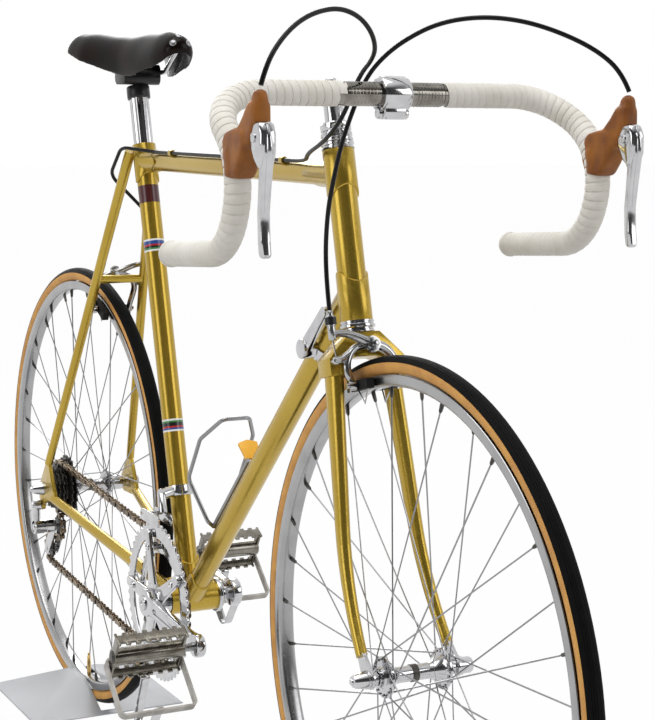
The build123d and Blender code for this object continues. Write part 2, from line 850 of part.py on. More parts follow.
def pads(base, reach):
    """Pair of brake pads with their bolts."""
    mid = base.offset(arm_thickness + arm_gap / 2)
    near = rim_width / 2 + pad_gap
    with BuildPart() as made:
        for side in (-1, 1):
            with BuildSketch(mid):
                with Locations((side * (near + pad_thickness / 2), -reach)):
                    Rectangle(pad_thickness, pad_height)
            extrude(amount=pad_length / 2, both=True)
    return made.part


crown_face = on_steer(brake_rise, crown_half_depth + arm_gap)
bridge_face = bridge_at + ss_back * (bridge_radius + arm_gap)
front_brake_plane = Plane(origin=crown_face, x_dir=across, z_dir=steer_fwd)
rear_brake_plane = Plane(origin=bridge_face, x_dir=across * -1, z_dir=ss_back)
with BuildPart() as front_brake_pads:
    add(pads(front_brake_plane, front_pad_reach))
with BuildPart() as front_brake:
    add(caliper(front_brake_plane, front_pad_reach))
    add(front_brake_pads.part, mode=Mode.SUBTRACT)
with BuildPart() as rear_brake_pads:
    add(pads(rear_brake_plane, rear_pad_reach))
with BuildPart() as rear_brake:
    add(caliper(rear_brake_plane, rear_pad_reach))
    add(rear_brake_pads.part, mode=Mode.SUBTRACT)
    add(braze_ons.part, mode=Mode.SUBTRACT)

# Wheels


def tyre_ring():
    """Tubular tyre on its bed, turned about Y at the origin."""
    section = (tyre_bed_half_width ** 2 + tyre_height ** 2) / (2 * tyre_height)
    centre = wheel_radius - section
    start = acos((tyre_bed_radius - centre) / section)
    turn = [start - 2 * start * i / tyre_facets for i in range(tyre_facets + 1)]
    with BuildPart() as made:
        with BuildSketch(Plane.XY):
            Polygon(*[(centre + section * cos(a), section * sin(a)) for a in turn], align=None)
        revolve(axis=Axis.Y)
    return made.part


def rim_ring():
    """Box-section tubular rim."""
    half = rim_width / 2
    waist = rim_waist / 2
    low = tyre_bed_radius - rim_depth
    with BuildPart() as made:
        with BuildSketch(Plane.XY):
            Polygon((tyre_bed_radius, -half), (tyre_bed_radius, half), (low + rim_wall, half), (low, waist),
                    (low, -waist), (low + rim_wall, -half), align=None)
        revolve(axis=Axis.Y)
    return made.part


def spokes(right, left):
    """Crossed spokes between the two flanges and the rim."""
    rim_end = tyre_bed_radius - rim_depth - spoke_end_gap
    step = 360 / spoke_count
    with BuildPart() as made:
        for i in range(spoke_count):
            side = -1 if i % 2 == 0 else 1
            lead = 1 if (i // 2) % 2 == 0 else -1
            rim_turn = radians(i * step)
            hub_turn = radians(i * step + lead * spoke_cross_angle)
            flange = right if side < 0 else left
            lift = spoke_outer_lift if lead > 0 else -spoke_inner_lift
            hub_side = side * (flange + lead * (flange_thickness / 2 + spoke_radius) + lift)
            hub = Vector(spoke_hole_radius * cos(hub_turn), hub_side, spoke_hole_radius * sin(hub_turn))
            rim = Vector(rim_end * cos(rim_turn), side * spoke_rim_offset, rim_end * sin(rim_turn))
            add(rod(hub, rim, spoke_radius))
    return made.part


def hub_shell(right, left, right_end, left_end, carrier):
    """Flanged hub turned about Y, with a bore that runs on the axle."""
    half = flange_thickness / 2
    here = Vector(0, 0, 0)
    with BuildPart() as made:
        add(cross_disc(here, hub_barrel_radius, -right, left))
        add(cross_disc(here, flange_radius, -right - half, -right + half))
        add(cross_disc(here, flange_radius, left - half, left + half))
        add(cross_disc(here, hub_end_radius, left, left_end))
        add(cross_disc(here, hub_end_radius, -right_end, -right))
        if carrier > 0:
            add(cross_disc(here, freewheel_bore, -right - carrier, -right))
        add(cross_disc(here, axle_radius + running_clearance, -right_end, left_end), mode=Mode.SUBTRACT)
    return made.part


def axle(over_locknuts, plate):
    """Axle with locknuts, skewer nut on the right and cam lever on the left."""
    half = over_locknuts / 2
    outer = half + plate
    here = Vector(0, 0, 0)
    with BuildPart() as made:
        add(cross_disc(here, axle_radius, -outer, outer))
        add(cross_disc(here, locknut_radius, half - locknut_width, half))
        add(cross_disc(here, locknut_radius, -half, locknut_width - half))
        with BuildSketch(Plane(origin=across * -outer, x_dir=ahead, z_dir=across * -1)):
            Circle(skewer_nut_radius)
        extrude(amount=skewer_nut_length, taper=skewer_nut_taper)
        add(cross_disc(here, skewer_nut_radius, outer, outer + skewer_nut_length))
        lever_side = outer + skewer_nut_length - skewer_lever_width / 2
        with BuildSketch(Plane(origin=across * lever_side, x_dir=ahead, z_dir=across)):
            with Locations((-skewer_lever_length / 2, 0)):
                SlotOverall(skewer_lever_length + skewer_lever_width, skewer_lever_width)
        extrude(amount=skewer_lever_width / 4, both=True)
    return made.part


front_hub_end = front_over_locknuts / 2 - locknut_width - hub_end_gap
rear_hub_end = rear_over_locknuts / 2 - locknut_width - hub_end_gap
inner_sprockets = len(sprocket_teeth) - 1 - drive_sprocket
freewheel_inner = chain_side - sprocket_spacing * inner_sprockets - sprocket_thickness
at_front = Location((front_axle.X, 0, front_axle.Z))
at_rear = Location((rear_axle.X, 0, rear_axle.Z))

with BuildPart() as front_tyre:
    add(tyre_ring().moved(at_front))
with BuildPart() as rear_tyre:
    add(tyre_ring().moved(at_rear))
with BuildPart() as front_rim:
    add(rim_ring().moved(at_front))
with BuildPart() as rear_rim:
    add(rim_ring().moved(at_rear))
with BuildPart() as front_spokes:
    add(spokes(front_flange_offset, front_flange_offset).moved(at_front))
with BuildPart() as rear_spokes:
    add(spokes(rear_flange_right, rear_flange_left).moved(at_rear))
with BuildPart() as front_hub:
    add(hub_shell(front_flange_offset, front_flange_offset, front_hub_end, front_hub_end, 0).moved(at_front))
with BuildPart() as rear_hub:
    shell = hub_shell(rear_flange_right, rear_flange_left, rear_hub_end, rear_hub_end, freewheel_carrier)
    add(shell.moved(at_rear))
with BuildPart() as front_skewer:
    add(axle(front_over_locknuts, fork_tip_thickness).moved(at_front))
with BuildPart() as rear_skewer:
    add(axle(rear_over_locknuts, dropout_thickness).moved(at_rear))

# Chainrings, sprockets and chain line


def pitch_radius(teeth):
    """Radius at which the chain pins lie on a toothed wheel."""
    return chain_pitch / (2 * sin(pi / teeth))


def toothed_disc(centre, teeth, side, thickness, bore, tip):
    """Toothed plate on a Y axis."""
    root = tip - tooth_height
    step = 2 * pi / teeth
    flank, land = tooth_root_share, tooth_tip_share
    profile = ((root, -flank), (tip, -land), (tip, land), (root, flank))
    outline = []
    for i in range(teeth):
        for radius, share in profile:
            turn = (i + share) * step
            outline.append((radius * cos(turn), radius * sin(turn)))
    with BuildPart() as made:
        base = Plane(origin=Vector(centre.X, side - thickness / 2, centre.Z), x_dir=ahead, z_dir=across)
        with BuildSketch(base):
            Polygon(*outline, align=None)
            Circle(bore, mode=Mode.SUBTRACT)
        extrude(amount=thickness)
    return made.part


def under_chain(teeth):
    """Tip radius that stays just inside the links of a fixed chain."""
    return pitch_radius(teeth) * cos(pi / teeth) - chain_link_height / 2 - tooth_clear


inner_tip = under_chain(inner_teeth)
outer_tip = pitch_radius(outer_teeth) + roller_radius / 2
inner_side = -chain_side
outer_side = -chain_side - ring_spacing
with BuildPart() as chainrings:
    inner_bore = bolt_circle_radius - ring_inner_margin
    outer_bore = bolt_circle_radius + outer_ring_margin
    add(toothed_disc(bb, inner_teeth, inner_side, ring_thickness, inner_bore, inner_tip))
    add(toothed_disc(bb, outer_teeth, outer_side, ring_thickness, outer_bore, outer_tip))

crank_dir = Vector(cos(radians(crank_angle)), 0, sin(radians(crank_angle)))
right_pedal = bb + crank_dir * crank_length
left_pedal = bb - crank_dir * crank_length


def crank_arm(eye, side):
    """Crank arm from its boss to the pedal eye."""
    low = side * crank_inner_side
    with BuildPart() as made:
        with BuildSketch(Plane(origin=across * low, x_dir=ahead, z_dir=across * -1)):
            with Locations((bb.X, bb.Z)):
                Circle(crank_boss_radius)
            with Locations((eye.X, eye.Z)):
                Circle(crank_eye_radius)
            make_hull()
        extrude(amount=-side * crank_thickness)
        run = (eye - bb).normalized()
        flute_start = crank_boss_radius + flute_margin
        flute_length = crank_length - flute_start - crank_eye_radius - flute_margin
        face = Vector(bb.X, side * (crank_inner_side + crank_thickness), bb.Z)
        with BuildSketch(Plane(origin=face, x_dir=run, z_dir=across * side)):
            with Locations((flute_start + flute_length / 2, 0)):
                SlotOverall(flute_length, flute_width)
        extrude(amount=-flute_depth, mode=Mode.SUBTRACT)
        add(cross_disc(eye, pedal_axle_radius, side * crank_inner_side / 2, side * 2 * crank_inner_side),
            mode=Mode.SUBTRACT)
    return made.part


spider_out = outer_side - ring_thickness / 2
with BuildPart() as crank_right:
    add(crank_arm(right_pedal, -1))
    add(cross_disc(bb, crank_boss_radius + spider_hub_margin, -crank_inner_side, spider_out))
    for i in range(spider_arms):
        turn = radians(crank_angle + (i + 0.5) * 360 / spider_arms)
        reach = bolt_circle_radius + spider_past_bolt
        with BuildSketch(Plane(origin=Vector(bb.X, spider_out, bb.Z), x_dir=Vector(cos(turn), 0, sin(turn)),
                               z_dir=across * -1)):
            with Locations((reach / 2, 0)):
                SlotOverall(reach + spider_arm_width, spider_arm_width)
        extrude(amount=spider_thickness)
    add(cross_disc(bb, spindle_radius, -2 * crank_inner_side, 0), mode=Mode.SUBTRACT)

with BuildPart() as crank_left:
    add(crank_arm(left_pedal, 1))
    add(cross_disc(bb, spindle_radius, 0, 2 * crank_inner_side), mode=Mode.SUBTRACT)

with BuildPart() as spindles:
    crank_outer_side = crank_inner_side + crank_thickness
    add(cross_disc(bb, spindle_radius, -crank_outer_side, crank_outer_side))
    for i in range(spider_arms):
        turn = radians(crank_angle + (i + 0.5) * 360 / spider_arms)
        bolt = bb + Vector(cos(turn), 0, sin(turn)) * (bolt_circle_radius + ring_bolt_margin)
        add(cross_disc(bolt, ring_bolt_radius, inner_side - ring_thickness / 2, spider_out))
    for eye, side in ((right_pedal, -1), (left_pedal, 1)):
        add(cross_disc(eye, pedal_axle_radius, side * crank_inner_side,
                       side * (pedal_inner_side + pedal_length - 2 * pedal_plate - running_clearance)))
    add(chainrings.part, mode=Mode.SUBTRACT)

with BuildPart() as freewheel:
    outer_end = chain_side + sprocket_spacing * drive_sprocket + sprocket_thickness
    add(cross_disc(rear_axle, freewheel_core_radius, -freewheel_inner, -outer_end,
                   freewheel_bore + running_clearance))
    for i, teeth in enumerate(sprocket_teeth):
        place = -chain_side - sprocket_spacing * (drive_sprocket - i)
        tip = pitch_radius(teeth) + roller_radius / 2
        if i == drive_sprocket:
            tip = under_chain(teeth)
        bore = freewheel_core_radius - sprocket_overlap
        add(toothed_disc(rear_axle, teeth, place, sprocket_thickness, bore, tip))

# Gear mech and jockey wheels
guide_at = rear_axle + Vector(-guide_back, 0, -guide_drop)
tension_at = rear_axle + Vector(-tension_back, 0, -tension_drop)
jockey_tip = under_chain(jockey_teeth)
with BuildPart() as jockey_wheels:
    for spot in (guide_at, tension_at):
        add(toothed_disc(spot, jockey_teeth, -chain_side, jockey_thickness, jockey_bolt_radius, jockey_tip))

with BuildPart() as rear_mech:
    for offset in (-1, 1):
        low = -chain_side + offset * (chain_outer_half + jockey_cage_gap + cage_plate / 2)
        with BuildSketch(Plane(origin=across * low, x_dir=ahead, z_dir=across * -1)):
            with Locations((guide_at.X, guide_at.Z)):
                Circle(mech_end_radius)
            with Locations((tension_at.X, tension_at.Z)):
                Circle(mech_end_radius)
            make_hull()
        extrude(amount=cage_plate / 2, both=True)
    for spot in (guide_at, tension_at):
        half = chain_outer_half + jockey_cage_gap + cage_plate
        add(cross_disc(spot, jockey_bolt_radius, -chain_side - half, -chain_side + half))
    hanger_face = -drop_inner - dropout_thickness
    add(cross_disc(hanger_at, mech_bolt_radius, hanger_face, hanger_face - mech_bolt_length))
    outer_face = hanger_face - mech_body_gap
    with BuildSketch(Plane(origin=across * outer_face, x_dir=ahead, z_dir=across * -1)):
        with Locations((hanger_at.X, hanger_at.Z)):
            Circle(mech_knuckle_radius)
        with Locations((guide_at.X - mech_body_back, guide_at.Z)):
            Circle(mech_body_radius)
        make_hull()
    extrude(amount=mech_body_thick)
    cage_face = -chain_side - chain_outer_half - jockey_cage_gap - cage_plate / 2
    add(cross_disc(guide_at, mech_pivot_radius, cage_face, outer_face))

# Chain: one closed loop of wide and narrow links round rings and jockeys


def tangent(first, second):
    """Straight run from one circle to the next; their last value is -1 for clockwise turns, 1 for others."""
    (ax, az, ar, at), (bx, bz, br, bt) = first, second
    gap = hypot(bx - ax, bz - az)
    base = atan2(bz - az, bx - ax)
    lean = acos((at * ar - bt * br) / gap)
    normal = base - lean
    return ((ax + at * ar * cos(normal), az + at * ar * sin(normal)),
            (bx + bt * br * cos(normal), bz + bt * br * sin(normal)))


drive_teeth = sprocket_teeth[drive_sprocket]
loop = [
    (rear_axle.X, rear_axle.Z, pitch_radius(drive_teeth), -1),
    (bb.X, bb.Z, pitch_radius(inner_teeth), -1),
    (tension_at.X, tension_at.Z, pitch_radius(jockey_teeth), -1),
    (guide_at.X, guide_at.Z, pitch_radius(jockey_teeth), 1),
]
runs = [tangent(loop[i], loop[(i + 1) % 4]) for i in range(4)]
trail = []
for i in range(4):
    start, end = runs[i]
    trail.append(("line", start, end))
    cx, cz, cr, turn = loop[(i + 1) % 4]
    leave = runs[(i + 1) % 4][0]
    first_turn = atan2(end[1] - cz, end[0] - cx)
    last_turn = atan2(leave[1] - cz, leave[0] - cx)
    sweep_turn = (turn * (last_turn - first_turn)) % (2 * pi)
    trail.append(("arc", (cx, cz, cr), (first_turn, turn * sweep_turn)))
lengths = []
for kind, a, b in trail:
    lengths.append(hypot(b[0] - a[0], b[1] - a[1]) if kind == "line" else a[2] * abs(b[1]))
chain_length = sum(lengths)
link_count = 2 * round(chain_length / chain_pitch / 2)


def on_chain(distance):
    """Point on the chain loop at a distance from its start."""
    left = distance % chain_length
    for (kind, a, b), length in zip(trail, lengths):
        if left <= length:
            if kind == "line":
                return a[0] + (b[0] - a[0]) * left / length, a[1] + (b[1] - a[1]) * left / length
            turn = b[0] + b[1] * left / length
            return a[0] + a[2] * cos(turn), a[1] + a[2] * sin(turn)
        left -= length
    return trail[0][1]


pins = [on_chain(chain_length * i / link_count) for i in range(link_count)]


def link_outline(i, past):
    """Link between two neighbouring pins, running on past them on a wide link."""
    (ax, az), (bx, bz) = pins[i], pins[(i + 1) % link_count]
    gap = hypot(bx - ax, bz - az)
    dx, dz = (bx - ax) / gap, (bz - az) / gap
    h = chain_link_height / 2
    spots = [(-past, h), (gap + past, h), (gap + past, -h), (-past, -h)]
    return [(ax + s * dx - t * dz, az + s * dz + t * dx) for s, t in spots]


with BuildPart() as chain:
    for start, half, past in ((0, chain_outer_half, roller_radius), (1, chain_inner_half, 0)):
        base = Plane(origin=Vector(0, -chain_side - half, 0), x_dir=ahead, z_dir=across * -1)
        with BuildSketch(base):
            for i in range(start, link_count, 2):
                Polygon(*link_outline(i, past), align=None)
        extrude(amount=-2 * half)

# Pedals
hang = radians(pedal_hang_angle)


def pedal_frame(eye, side):
    """Plane of a hanging pedal: X toward the toe, Y out of the sole, centred on its axle."""
    toe = Vector(cos(hang), 0, sin(hang))
    return Plane(origin=Vector(eye.X, side * pedal_inner_side, eye.Z), x_dir=toe, z_dir=across * side)


def pedal(eye, side):
    """Quill pedal body with two toothed plates."""
    base = pedal_frame(eye, side)
    with BuildPart() as made:
        with BuildSketch(base):
            Circle(pedal_body_radius)
        extrude(amount=pedal_length)
        with BuildSketch(base):
            with Locations((pedal_half_depth, 0), (-pedal_half_depth, 0)):
                Rectangle(pedal_plate, pedal_plate_height)
        extrude(amount=pedal_length)
        with BuildSketch(base):
            Rectangle(2 * pedal_half_depth, pedal_end_height)
        extrude(amount=pedal_plate)
        with BuildSketch(base.offset(pedal_length - pedal_plate)):
            Rectangle(2 * pedal_half_depth, pedal_end_height)
        extrude(amount=pedal_plate)
        with BuildSketch(base):
            Circle(pedal_axle_radius + running_clearance)
        extrude(amount=pedal_length - 2 * pedal_plate, mode=Mode.SUBTRACT)
        for end in (-1, 1):
            plate_mid = base.from_local_coords(Vector(end * pedal_half_depth, 0, pedal_length / 2))
            with BuildSketch(Plane(origin=plate_mid, x_dir=across, z_dir=base.x_dir)):
                with GridLocations(pedal_length / plate_notches, pedal_plate_height, plate_notches, 2):
                    Rectangle(notch_width, 2 * notch_depth)
            extrude(amount=pedal_plate, both=True, mode=Mode.SUBTRACT)
    return made.part


def toe_clip(eye, side):
    """Bent steel band from the front plate round the toe."""
    turn = pedal_frame(eye, side)
    up_sign = side * -1
    mid = turn.offset(pedal_length / 2)
    front = pedal_half_depth + pedal_plate / 2
    with BuildPart() as made:
        with BuildSketch(mid):
            with BuildLine(mode=Mode.PRIVATE) as line:
                FilletPolyline((front + clip_thick / 2, up_sign * -pedal_plate_height / 2),
                               (front + clip_thick / 2, up_sign * pedal_plate_height / 2),
                               (clip_reach - clip_toe_back, up_sign * clip_toe_rise),
                               (clip_reach, up_sign * clip_height),
                               (pedal_half_depth + clip_top_ahead, up_sign * (clip_height + clip_top_rise)),
                               radius=toe_clip_bends)
            trace(line.line, clip_thick)
        extrude(amount=clip_width / 2, both=True)
    return made.part


def toe_strap(eye, side):
    """Leather strap round the pedal and the top of its toe clip."""
    base = pedal_frame(eye, side)
    sole = side * -1
    low = base.from_local_coords(Vector(strap_low_ahead, sole * -strap_low, pedal_length / 2))
    top = sole * (clip_height + strap_top_rise)
    high = base.from_local_coords(Vector(pedal_half_depth + strap_top_ahead, top, pedal_length / 2))
    rise = (high - low).normalized()
    loop = Plane(origin=(low + high) * 0.5, x_dir=across, z_dir=across.cross(rise))
    tall = (high - low).length + strap_thick
    with BuildPart() as made:
        with BuildSketch(loop):
            RectangleRounded(pedal_length + 2 * strap_side, tall, strap_corner)
            RectangleRounded(pedal_length + 2 * strap_side - 2 * strap_thick, tall - 2 * strap_thick,
                             strap_corner - strap_thick, mode=Mode.SUBTRACT)
        extrude(amount=strap_width / 2, both=True)
    return made.part


with BuildPart() as pedal_right:
    add(pedal(right_pedal, -1))
with BuildPart() as pedal_left:
    add(pedal(left_pedal, 1))
with BuildPart() as toe_clip_right:
    add(toe_clip(right_pedal, -1))
with BuildPart() as toe_clip_left:
    add(toe_clip(left_pedal, 1))
with BuildPart() as toe_strap_right:
    add(toe_strap(right_pedal, -1))
with BuildPart() as toe_strap_left:
    add(toe_strap(left_pedal, 1))

# Seat post, rails and saddle; a station is (ahead of the post, half width, top, skirt), heights from the rails
post_top = on_seat(seat_tube_length + post_show)
rail_height = post_top.Z + rail_above_post
saddle_stations = (
    (163, 9, 40, 24), (155, 17, 48, 14), (128, 21, 55, 2), (80, 24, 57, -9), (30, 33, 54, -10),
    (-12, 50, 53, -1), (-52, 68, 56, 10), (-88, 74, 59, 22), (-104, 68, 52, 30), (-110, 58, 44, 34),
)


def saddle_loft(inset, lower):
    """Saddle form through its stations, drawn in by an inset and let down at the skirt."""
    last = len(saddle_stations) - 1
    with BuildPart() as made:
        for i, (x, half, top, skirt) in enumerate(saddle_stations):
            shift = inset if i == 0 else (-inset if i == last else 0)
            spot = Vector(post_top.X + x - shift, 0, rail_height)
            wide = half - inset
            low = skirt - lower
            high = top - inset
            brow = high - saddle_crown * (high - low)
            with BuildSketch(Plane(origin=spot, x_dir=across, z_dir=ahead)):
                with BuildLine():
                    Spline((-wide, low), (-saddle_shoulder * wide, brow), (0, high),
                           (saddle_shoulder * wide, brow), (wide, low))
                    Line((wide, low), (-wide, low))
                make_face()
        loft(ruled=True)
    return made.part


with BuildPart() as saddle:
    add(saddle_loft(0, 0))
    add(saddle_loft(saddle_leather, saddle_leather / 2), mode=Mode.SUBTRACT)

with BuildPart() as saddle_rails:
    for side in (-1, 1):
        add(wire([Vector(post_top.X + rail_nose_ahead, side * rail_nose_side, rail_height + rail_nose_rise),
                  Vector(post_top.X + rail_flat_ahead, side * rail_half_gap, rail_height),
                  Vector(post_top.X - rail_flat_back, side * rail_half_gap, rail_height),
                  Vector(post_top.X - rail_tail_back, side * rail_tail_side, rail_height + rail_tail_rise)],
                 [rail_nose_bend, rail_tail_bend], rail_radius))
    nose_pin = Vector(post_top.X + rail_nose_ahead, 0, rail_height + rail_nose_rise)
    pin_half = rail_nose_side + rail_radius / 2
    add(cross_disc(nose_pin, 2 * rail_radius, -pin_half, pin_half))
    add(saddle.part, mode=Mode.SUBTRACT)
kept = sorted(saddle_rails.part.solids(), key=lambda s: s.volume)[-1:]
with BuildPart() as saddle_rails:
    for solid in kept:
        add(solid)

with BuildPart() as saddle_clamp:
    with BuildSketch(Plane(origin=Vector(post_top.X, 0, rail_height), x_dir=ahead, z_dir=across)):
        with Locations((rail_radius, rail_radius)):
            RectangleRounded(clamp_length, clamp_height, clamp_corner)
    extrude(amount=rail_half_gap + rail_radius + clamp_lip, both=True)
    add(saddle_rails.part, mode=Mode.SUBTRACT)

with BuildPart() as seat_post:
    add(rod(on_seat(seat_tube_length - post_in_frame), post_top, seat_post_radius))
    add(saddle_clamp.part, mode=Mode.SUBTRACT)
    add(saddle_rails.part, mode=Mode.SUBTRACT)
kept = sorted(seat_post.part.solids(), key=lambda s: s.volume)[-1:]
with BuildPart() as seat_post:
    for solid in kept:
        add(solid)

# Housings: points chosen by hand, from the bar's centre over the bar to the brakes
front_route = (
    (120, 204, 26), (105, 183, 48), (85, 150, 66), (64, 114, 78), (40, 78, 81), (15, 45, 74), (-9, 20, 57),
    (-24, 1, 38), (-34, -13, 16), (-38, -24, -14), (-42, -35, -48), (-46, -42, -85), (-52, -47, -128),
)
rear_route = (
    (125, -204, 25), (120, -190, 45), (109, -168, 63), (95, -140, 76), (83, -108, 82), (72, -80, 76),
    (59, -58, 62), (42, -43, 46), (19, -35, 34), (-8, -31, 23), (-28, -31, 3), (-39, -34, -19),
    (-58, -36, -37), (-91, -34, -53), (-146, -24, -66),
)
hood_exit = Vector(bar_centre.X + hood_exit_ahead, bar_half_width, bar_centre.Z + hood_exit_rise)
mirror_exit = Vector(hood_exit.X, -hood_exit.Y, hood_exit.Z)
housing_seat = Vector(0, -clip_side, top_tube_radius + housing_radius - clip_sink)
with BuildPart() as front_brake_housing:
    end = cable_stop(front_brake_plane)
    route = [hood_exit] + [bar_centre + Vector(*spot) for spot in front_route]
    add(cord(route + [end + steer_up * adjuster_run, end], housing_radius))

tt_top = tt_head - tt_dir * first_clip_back + housing_seat
with BuildPart() as rear_brake_housing_front:
    route = [mirror_exit] + [bar_centre + Vector(*spot) for spot in rear_route]
    add(cord(route + [tt_top + tt_dir * clip_lead, tt_top], housing_radius))

with BuildPart() as rear_brake_housing:
    tail_top = tt_seat + tt_dir * last_clip_ahead + housing_seat
    end = cable_stop(rear_brake_plane)
    add(wire([tt_top, tail_top, ss_top + Vector(seat_pass_ahead, -seat_pass_side, seat_pass_rise),
              ss_top + ss_back * stay_pass_back - ss_dir * stay_pass_down - across * stay_pass_side,
              end + ss_dir * stop_run, end], stay_housing_bends, housing_radius))

# Shift levers, cage and stand
with BuildPart() as shift_levers:
    add(rod(on_down(shift_along - shift_band / 2), on_down(shift_along + shift_band / 2),
            main_tube_radius + shift_band_wall, main_tube_radius))
    for side in (-1, 1):
        boss = on_down(shift_along)
        add(cross_disc(boss, shift_boss_radius, side * (main_tube_radius + shift_band_wall / 2),
                       side * (main_tube_radius + shift_boss_width)))
        lever_side = side * (main_tube_radius + shift_boss_width - shift_boss_radius / 2)
        plane = Plane(origin=Vector(boss.X, lever_side, boss.Z), x_dir=dt_dir, z_dir=across * -1)
        with BuildSketch(plane):
            Circle(shift_boss_radius - shift_band_wall)
            with Locations((shift_lever_length, 0)):
                Circle(shift_tip_radius)
            make_hull()
        extrude(amount=shift_lever_thick / 2, both=True)
    add(rod(on_down(0), dt_head, main_tube_radius), mode=Mode.SUBTRACT)

with BuildPart() as front_mech:
    add(rod(on_seat(mech_band_along - mech_band / 2), on_seat(mech_band_along + mech_band / 2),
            main_tube_radius + mech_band_wall, main_tube_radius))
    arm_root = on_seat(mech_band_along, mech_root_ahead, -main_tube_radius)
    arm_knee = on_seat(mech_band_along - mech_knee_drop, mech_arm_ahead, -mech_arm_side)
    add(rod(arm_root, arm_knee, mech_arm_radius))
    cage_mid = Vector(bb.X - mech_cage_back, 0, bb.Z + pitch_radius(outer_teeth) + mech_cage_rise)
    inner_plate = -chain_side + chain_outer_half + mech_cage_gap
    outer_plate = -chain_side - chain_outer_half - ring_spacing - mech_cage_gap
    for low in (inner_plate, outer_plate):
        with BuildSketch(Plane(origin=across * low, x_dir=ahead, z_dir=across * -1)):
            with Locations((cage_mid.X, cage_mid.Z)):
                SlotOverall(mech_cage_length, mech_cage_height)
        extrude(amount=mech_plate / 2, both=True)
    add(rod(Vector(cage_mid.X, inner_plate, cage_mid.Z + mech_arm_radius / 2), arm_knee,
            mech_link_radius))
    bridge_x = cage_mid.X - (mech_cage_length - mech_cage_height) / 2
    add(cross_disc(Vector(bridge_x, 0, cage_mid.Z), 2 * mech_plate, outer_plate, inner_plate))
    add(rod(on_seat(0), on_seat(seat_tube_length), main_tube_radius), mode=Mode.SUBTRACT)

with BuildPart() as bottle_cage:
    skin = main_tube_radius + cage_wire_radius
    for side in (-1, 1):
        foot = on_down(cage_foot, skin, side * cage_rail_side)
        head = on_down(cage_head, skin, side * cage_rail_side)
        add(wire([foot, on_down(cage_foot + cage_flare, skin + cage_wire_radius, side * cage_half / 2),
                  on_down(cage_knee, cage_out, side * cage_half),
                  on_down(cage_shoulder, cage_out + cage_lean, side * cage_half),
                  on_down(cage_crown, cage_out + cage_lean, side * cage_half / 2),
                  on_down(cage_crown, cage_out + cage_lean, 0)],
                 cage_bends, cage_wire_radius))
        add(rod(foot, head, cage_wire_radius))
    foot_ends = [on_down(cage_foot, skin, side * cage_rail_side) for side in (-1, 1)]
    add(rod(*foot_ends, cage_wire_radius))
    add(rod(on_down(0), dt_head, main_tube_radius), mode=Mode.SUBTRACT)

tab_low = main_tube_radius + 2 * cage_wire_radius + running_clearance
with BuildPart() as cage_tab:
    with BuildSketch(Plane(origin=on_down(cage_head - tab_back), x_dir=across, z_dir=dt_dir)):
        with BuildLine():
            FilletPolyline((-tab_foot, tab_low), (tab_foot, tab_low), (tab_half, tab_high - tab_bow),
                           (0, tab_high), (-tab_half, tab_high - tab_bow), close=True, radius=tab_corner)
        make_face()
    extrude(amount=tab_thick)


def stand_form(inset, top):
    """Four-sided hood of the stand, drawn in by an inset."""
    with BuildPart() as made:
        with BuildSketch(Plane.XY):
            with Locations((rear_axle.X, 0)):
                Rectangle(stand_length - 2 * inset, stand_width - 2 * inset)
        with BuildSketch(Plane.XY.offset(top)):
            with Locations((rear_axle.X, 0)):
                Rectangle(stand_top_length - 2 * inset, stand_top_width - 2 * inset)
        loft(ruled=True)
    return made.part


with BuildPart() as stand:
    add(stand_form(0, stand_height))
    add(stand_form(stand_sheet, stand_height - stand_sheet), mode=Mode.SUBTRACT)
    with BuildSketch(Plane.XY):
        with Locations((rear_axle.X, 0)):
            Rectangle(stand_length - stand_sheet, stand_width - stand_sheet)
            Rectangle(stand_length - 2 * stand_foot, stand_width - 2 * stand_foot, mode=Mode.SUBTRACT)
    extrude(amount=stand_sheet)
    tyre_half = (tyre_bed_half_width ** 2 + tyre_height ** 2) / (2 * tyre_height)
    with BuildSketch(Plane.XY.offset(stand_lip)):
        with Locations((rear_axle.X, 0)):
            Rectangle(2 * stand_length, 2 * (tyre_half + stand_grip))
    extrude(amount=stand_height, mode=Mode.SUBTRACT)

pieces = {
    "seat_tube": seat_tube, "head_tube": head_tube, "top_tube": top_tube, "down_tube": down_tube,
    "lugs": lugs, "bb_shell": bb_shell, "rear_stays": rear_stays,
    "rear_dropouts": rear_dropouts, "braze_ons": braze_ons, "bearing_cups": bearing_cups,
    "fork_crown": fork_crown, "headset_races": headset_races, "fork_blades": fork_blades,
    "fork_tips": fork_tips, "stem": stem, "handlebar": handlebar, "bar_tape": bar_tape, "hoods": hoods,
    "brake_levers": brake_levers, "front_brake": front_brake, "front_brake_pads": front_brake_pads,
    "rear_brake": rear_brake, "rear_brake_pads": rear_brake_pads, "front_tyre": front_tyre,
    "rear_tyre": rear_tyre, "front_rim": front_rim, "rear_rim": rear_rim, "front_spokes": front_spokes,
    "rear_spokes": rear_spokes, "front_hub": front_hub, "rear_hub": rear_hub,
    "front_skewer": front_skewer, "rear_skewer": rear_skewer, "chainrings": chainrings,
    "crank_right": crank_right, "crank_left": crank_left, "spindles": spindles,
    "freewheel": freewheel, "jockey_wheels": jockey_wheels, "rear_mech": rear_mech, "chain": chain,
    "pedal_right": pedal_right, "pedal_left": pedal_left,
    "toe_clip_right": toe_clip_right, "toe_clip_left": toe_clip_left,
    "toe_strap_right": toe_strap_right, "toe_strap_left": toe_strap_left, "cage_tab": cage_tab,
    "saddle_clamp": saddle_clamp, "saddle": saddle,
    "saddle_rails": saddle_rails, "seat_post": seat_post, "front_brake_housing": front_brake_housing,
    "rear_brake_housing_front": rear_brake_housing_front, "rear_brake_housing": rear_brake_housing,
    "shift_levers": shift_levers, "front_mech": front_mech, "bottle_cage": bottle_cage, "stand": stand,
}
for name, made in pieces.items():
    finish(made, name)
print(len(pieces), "pieces")
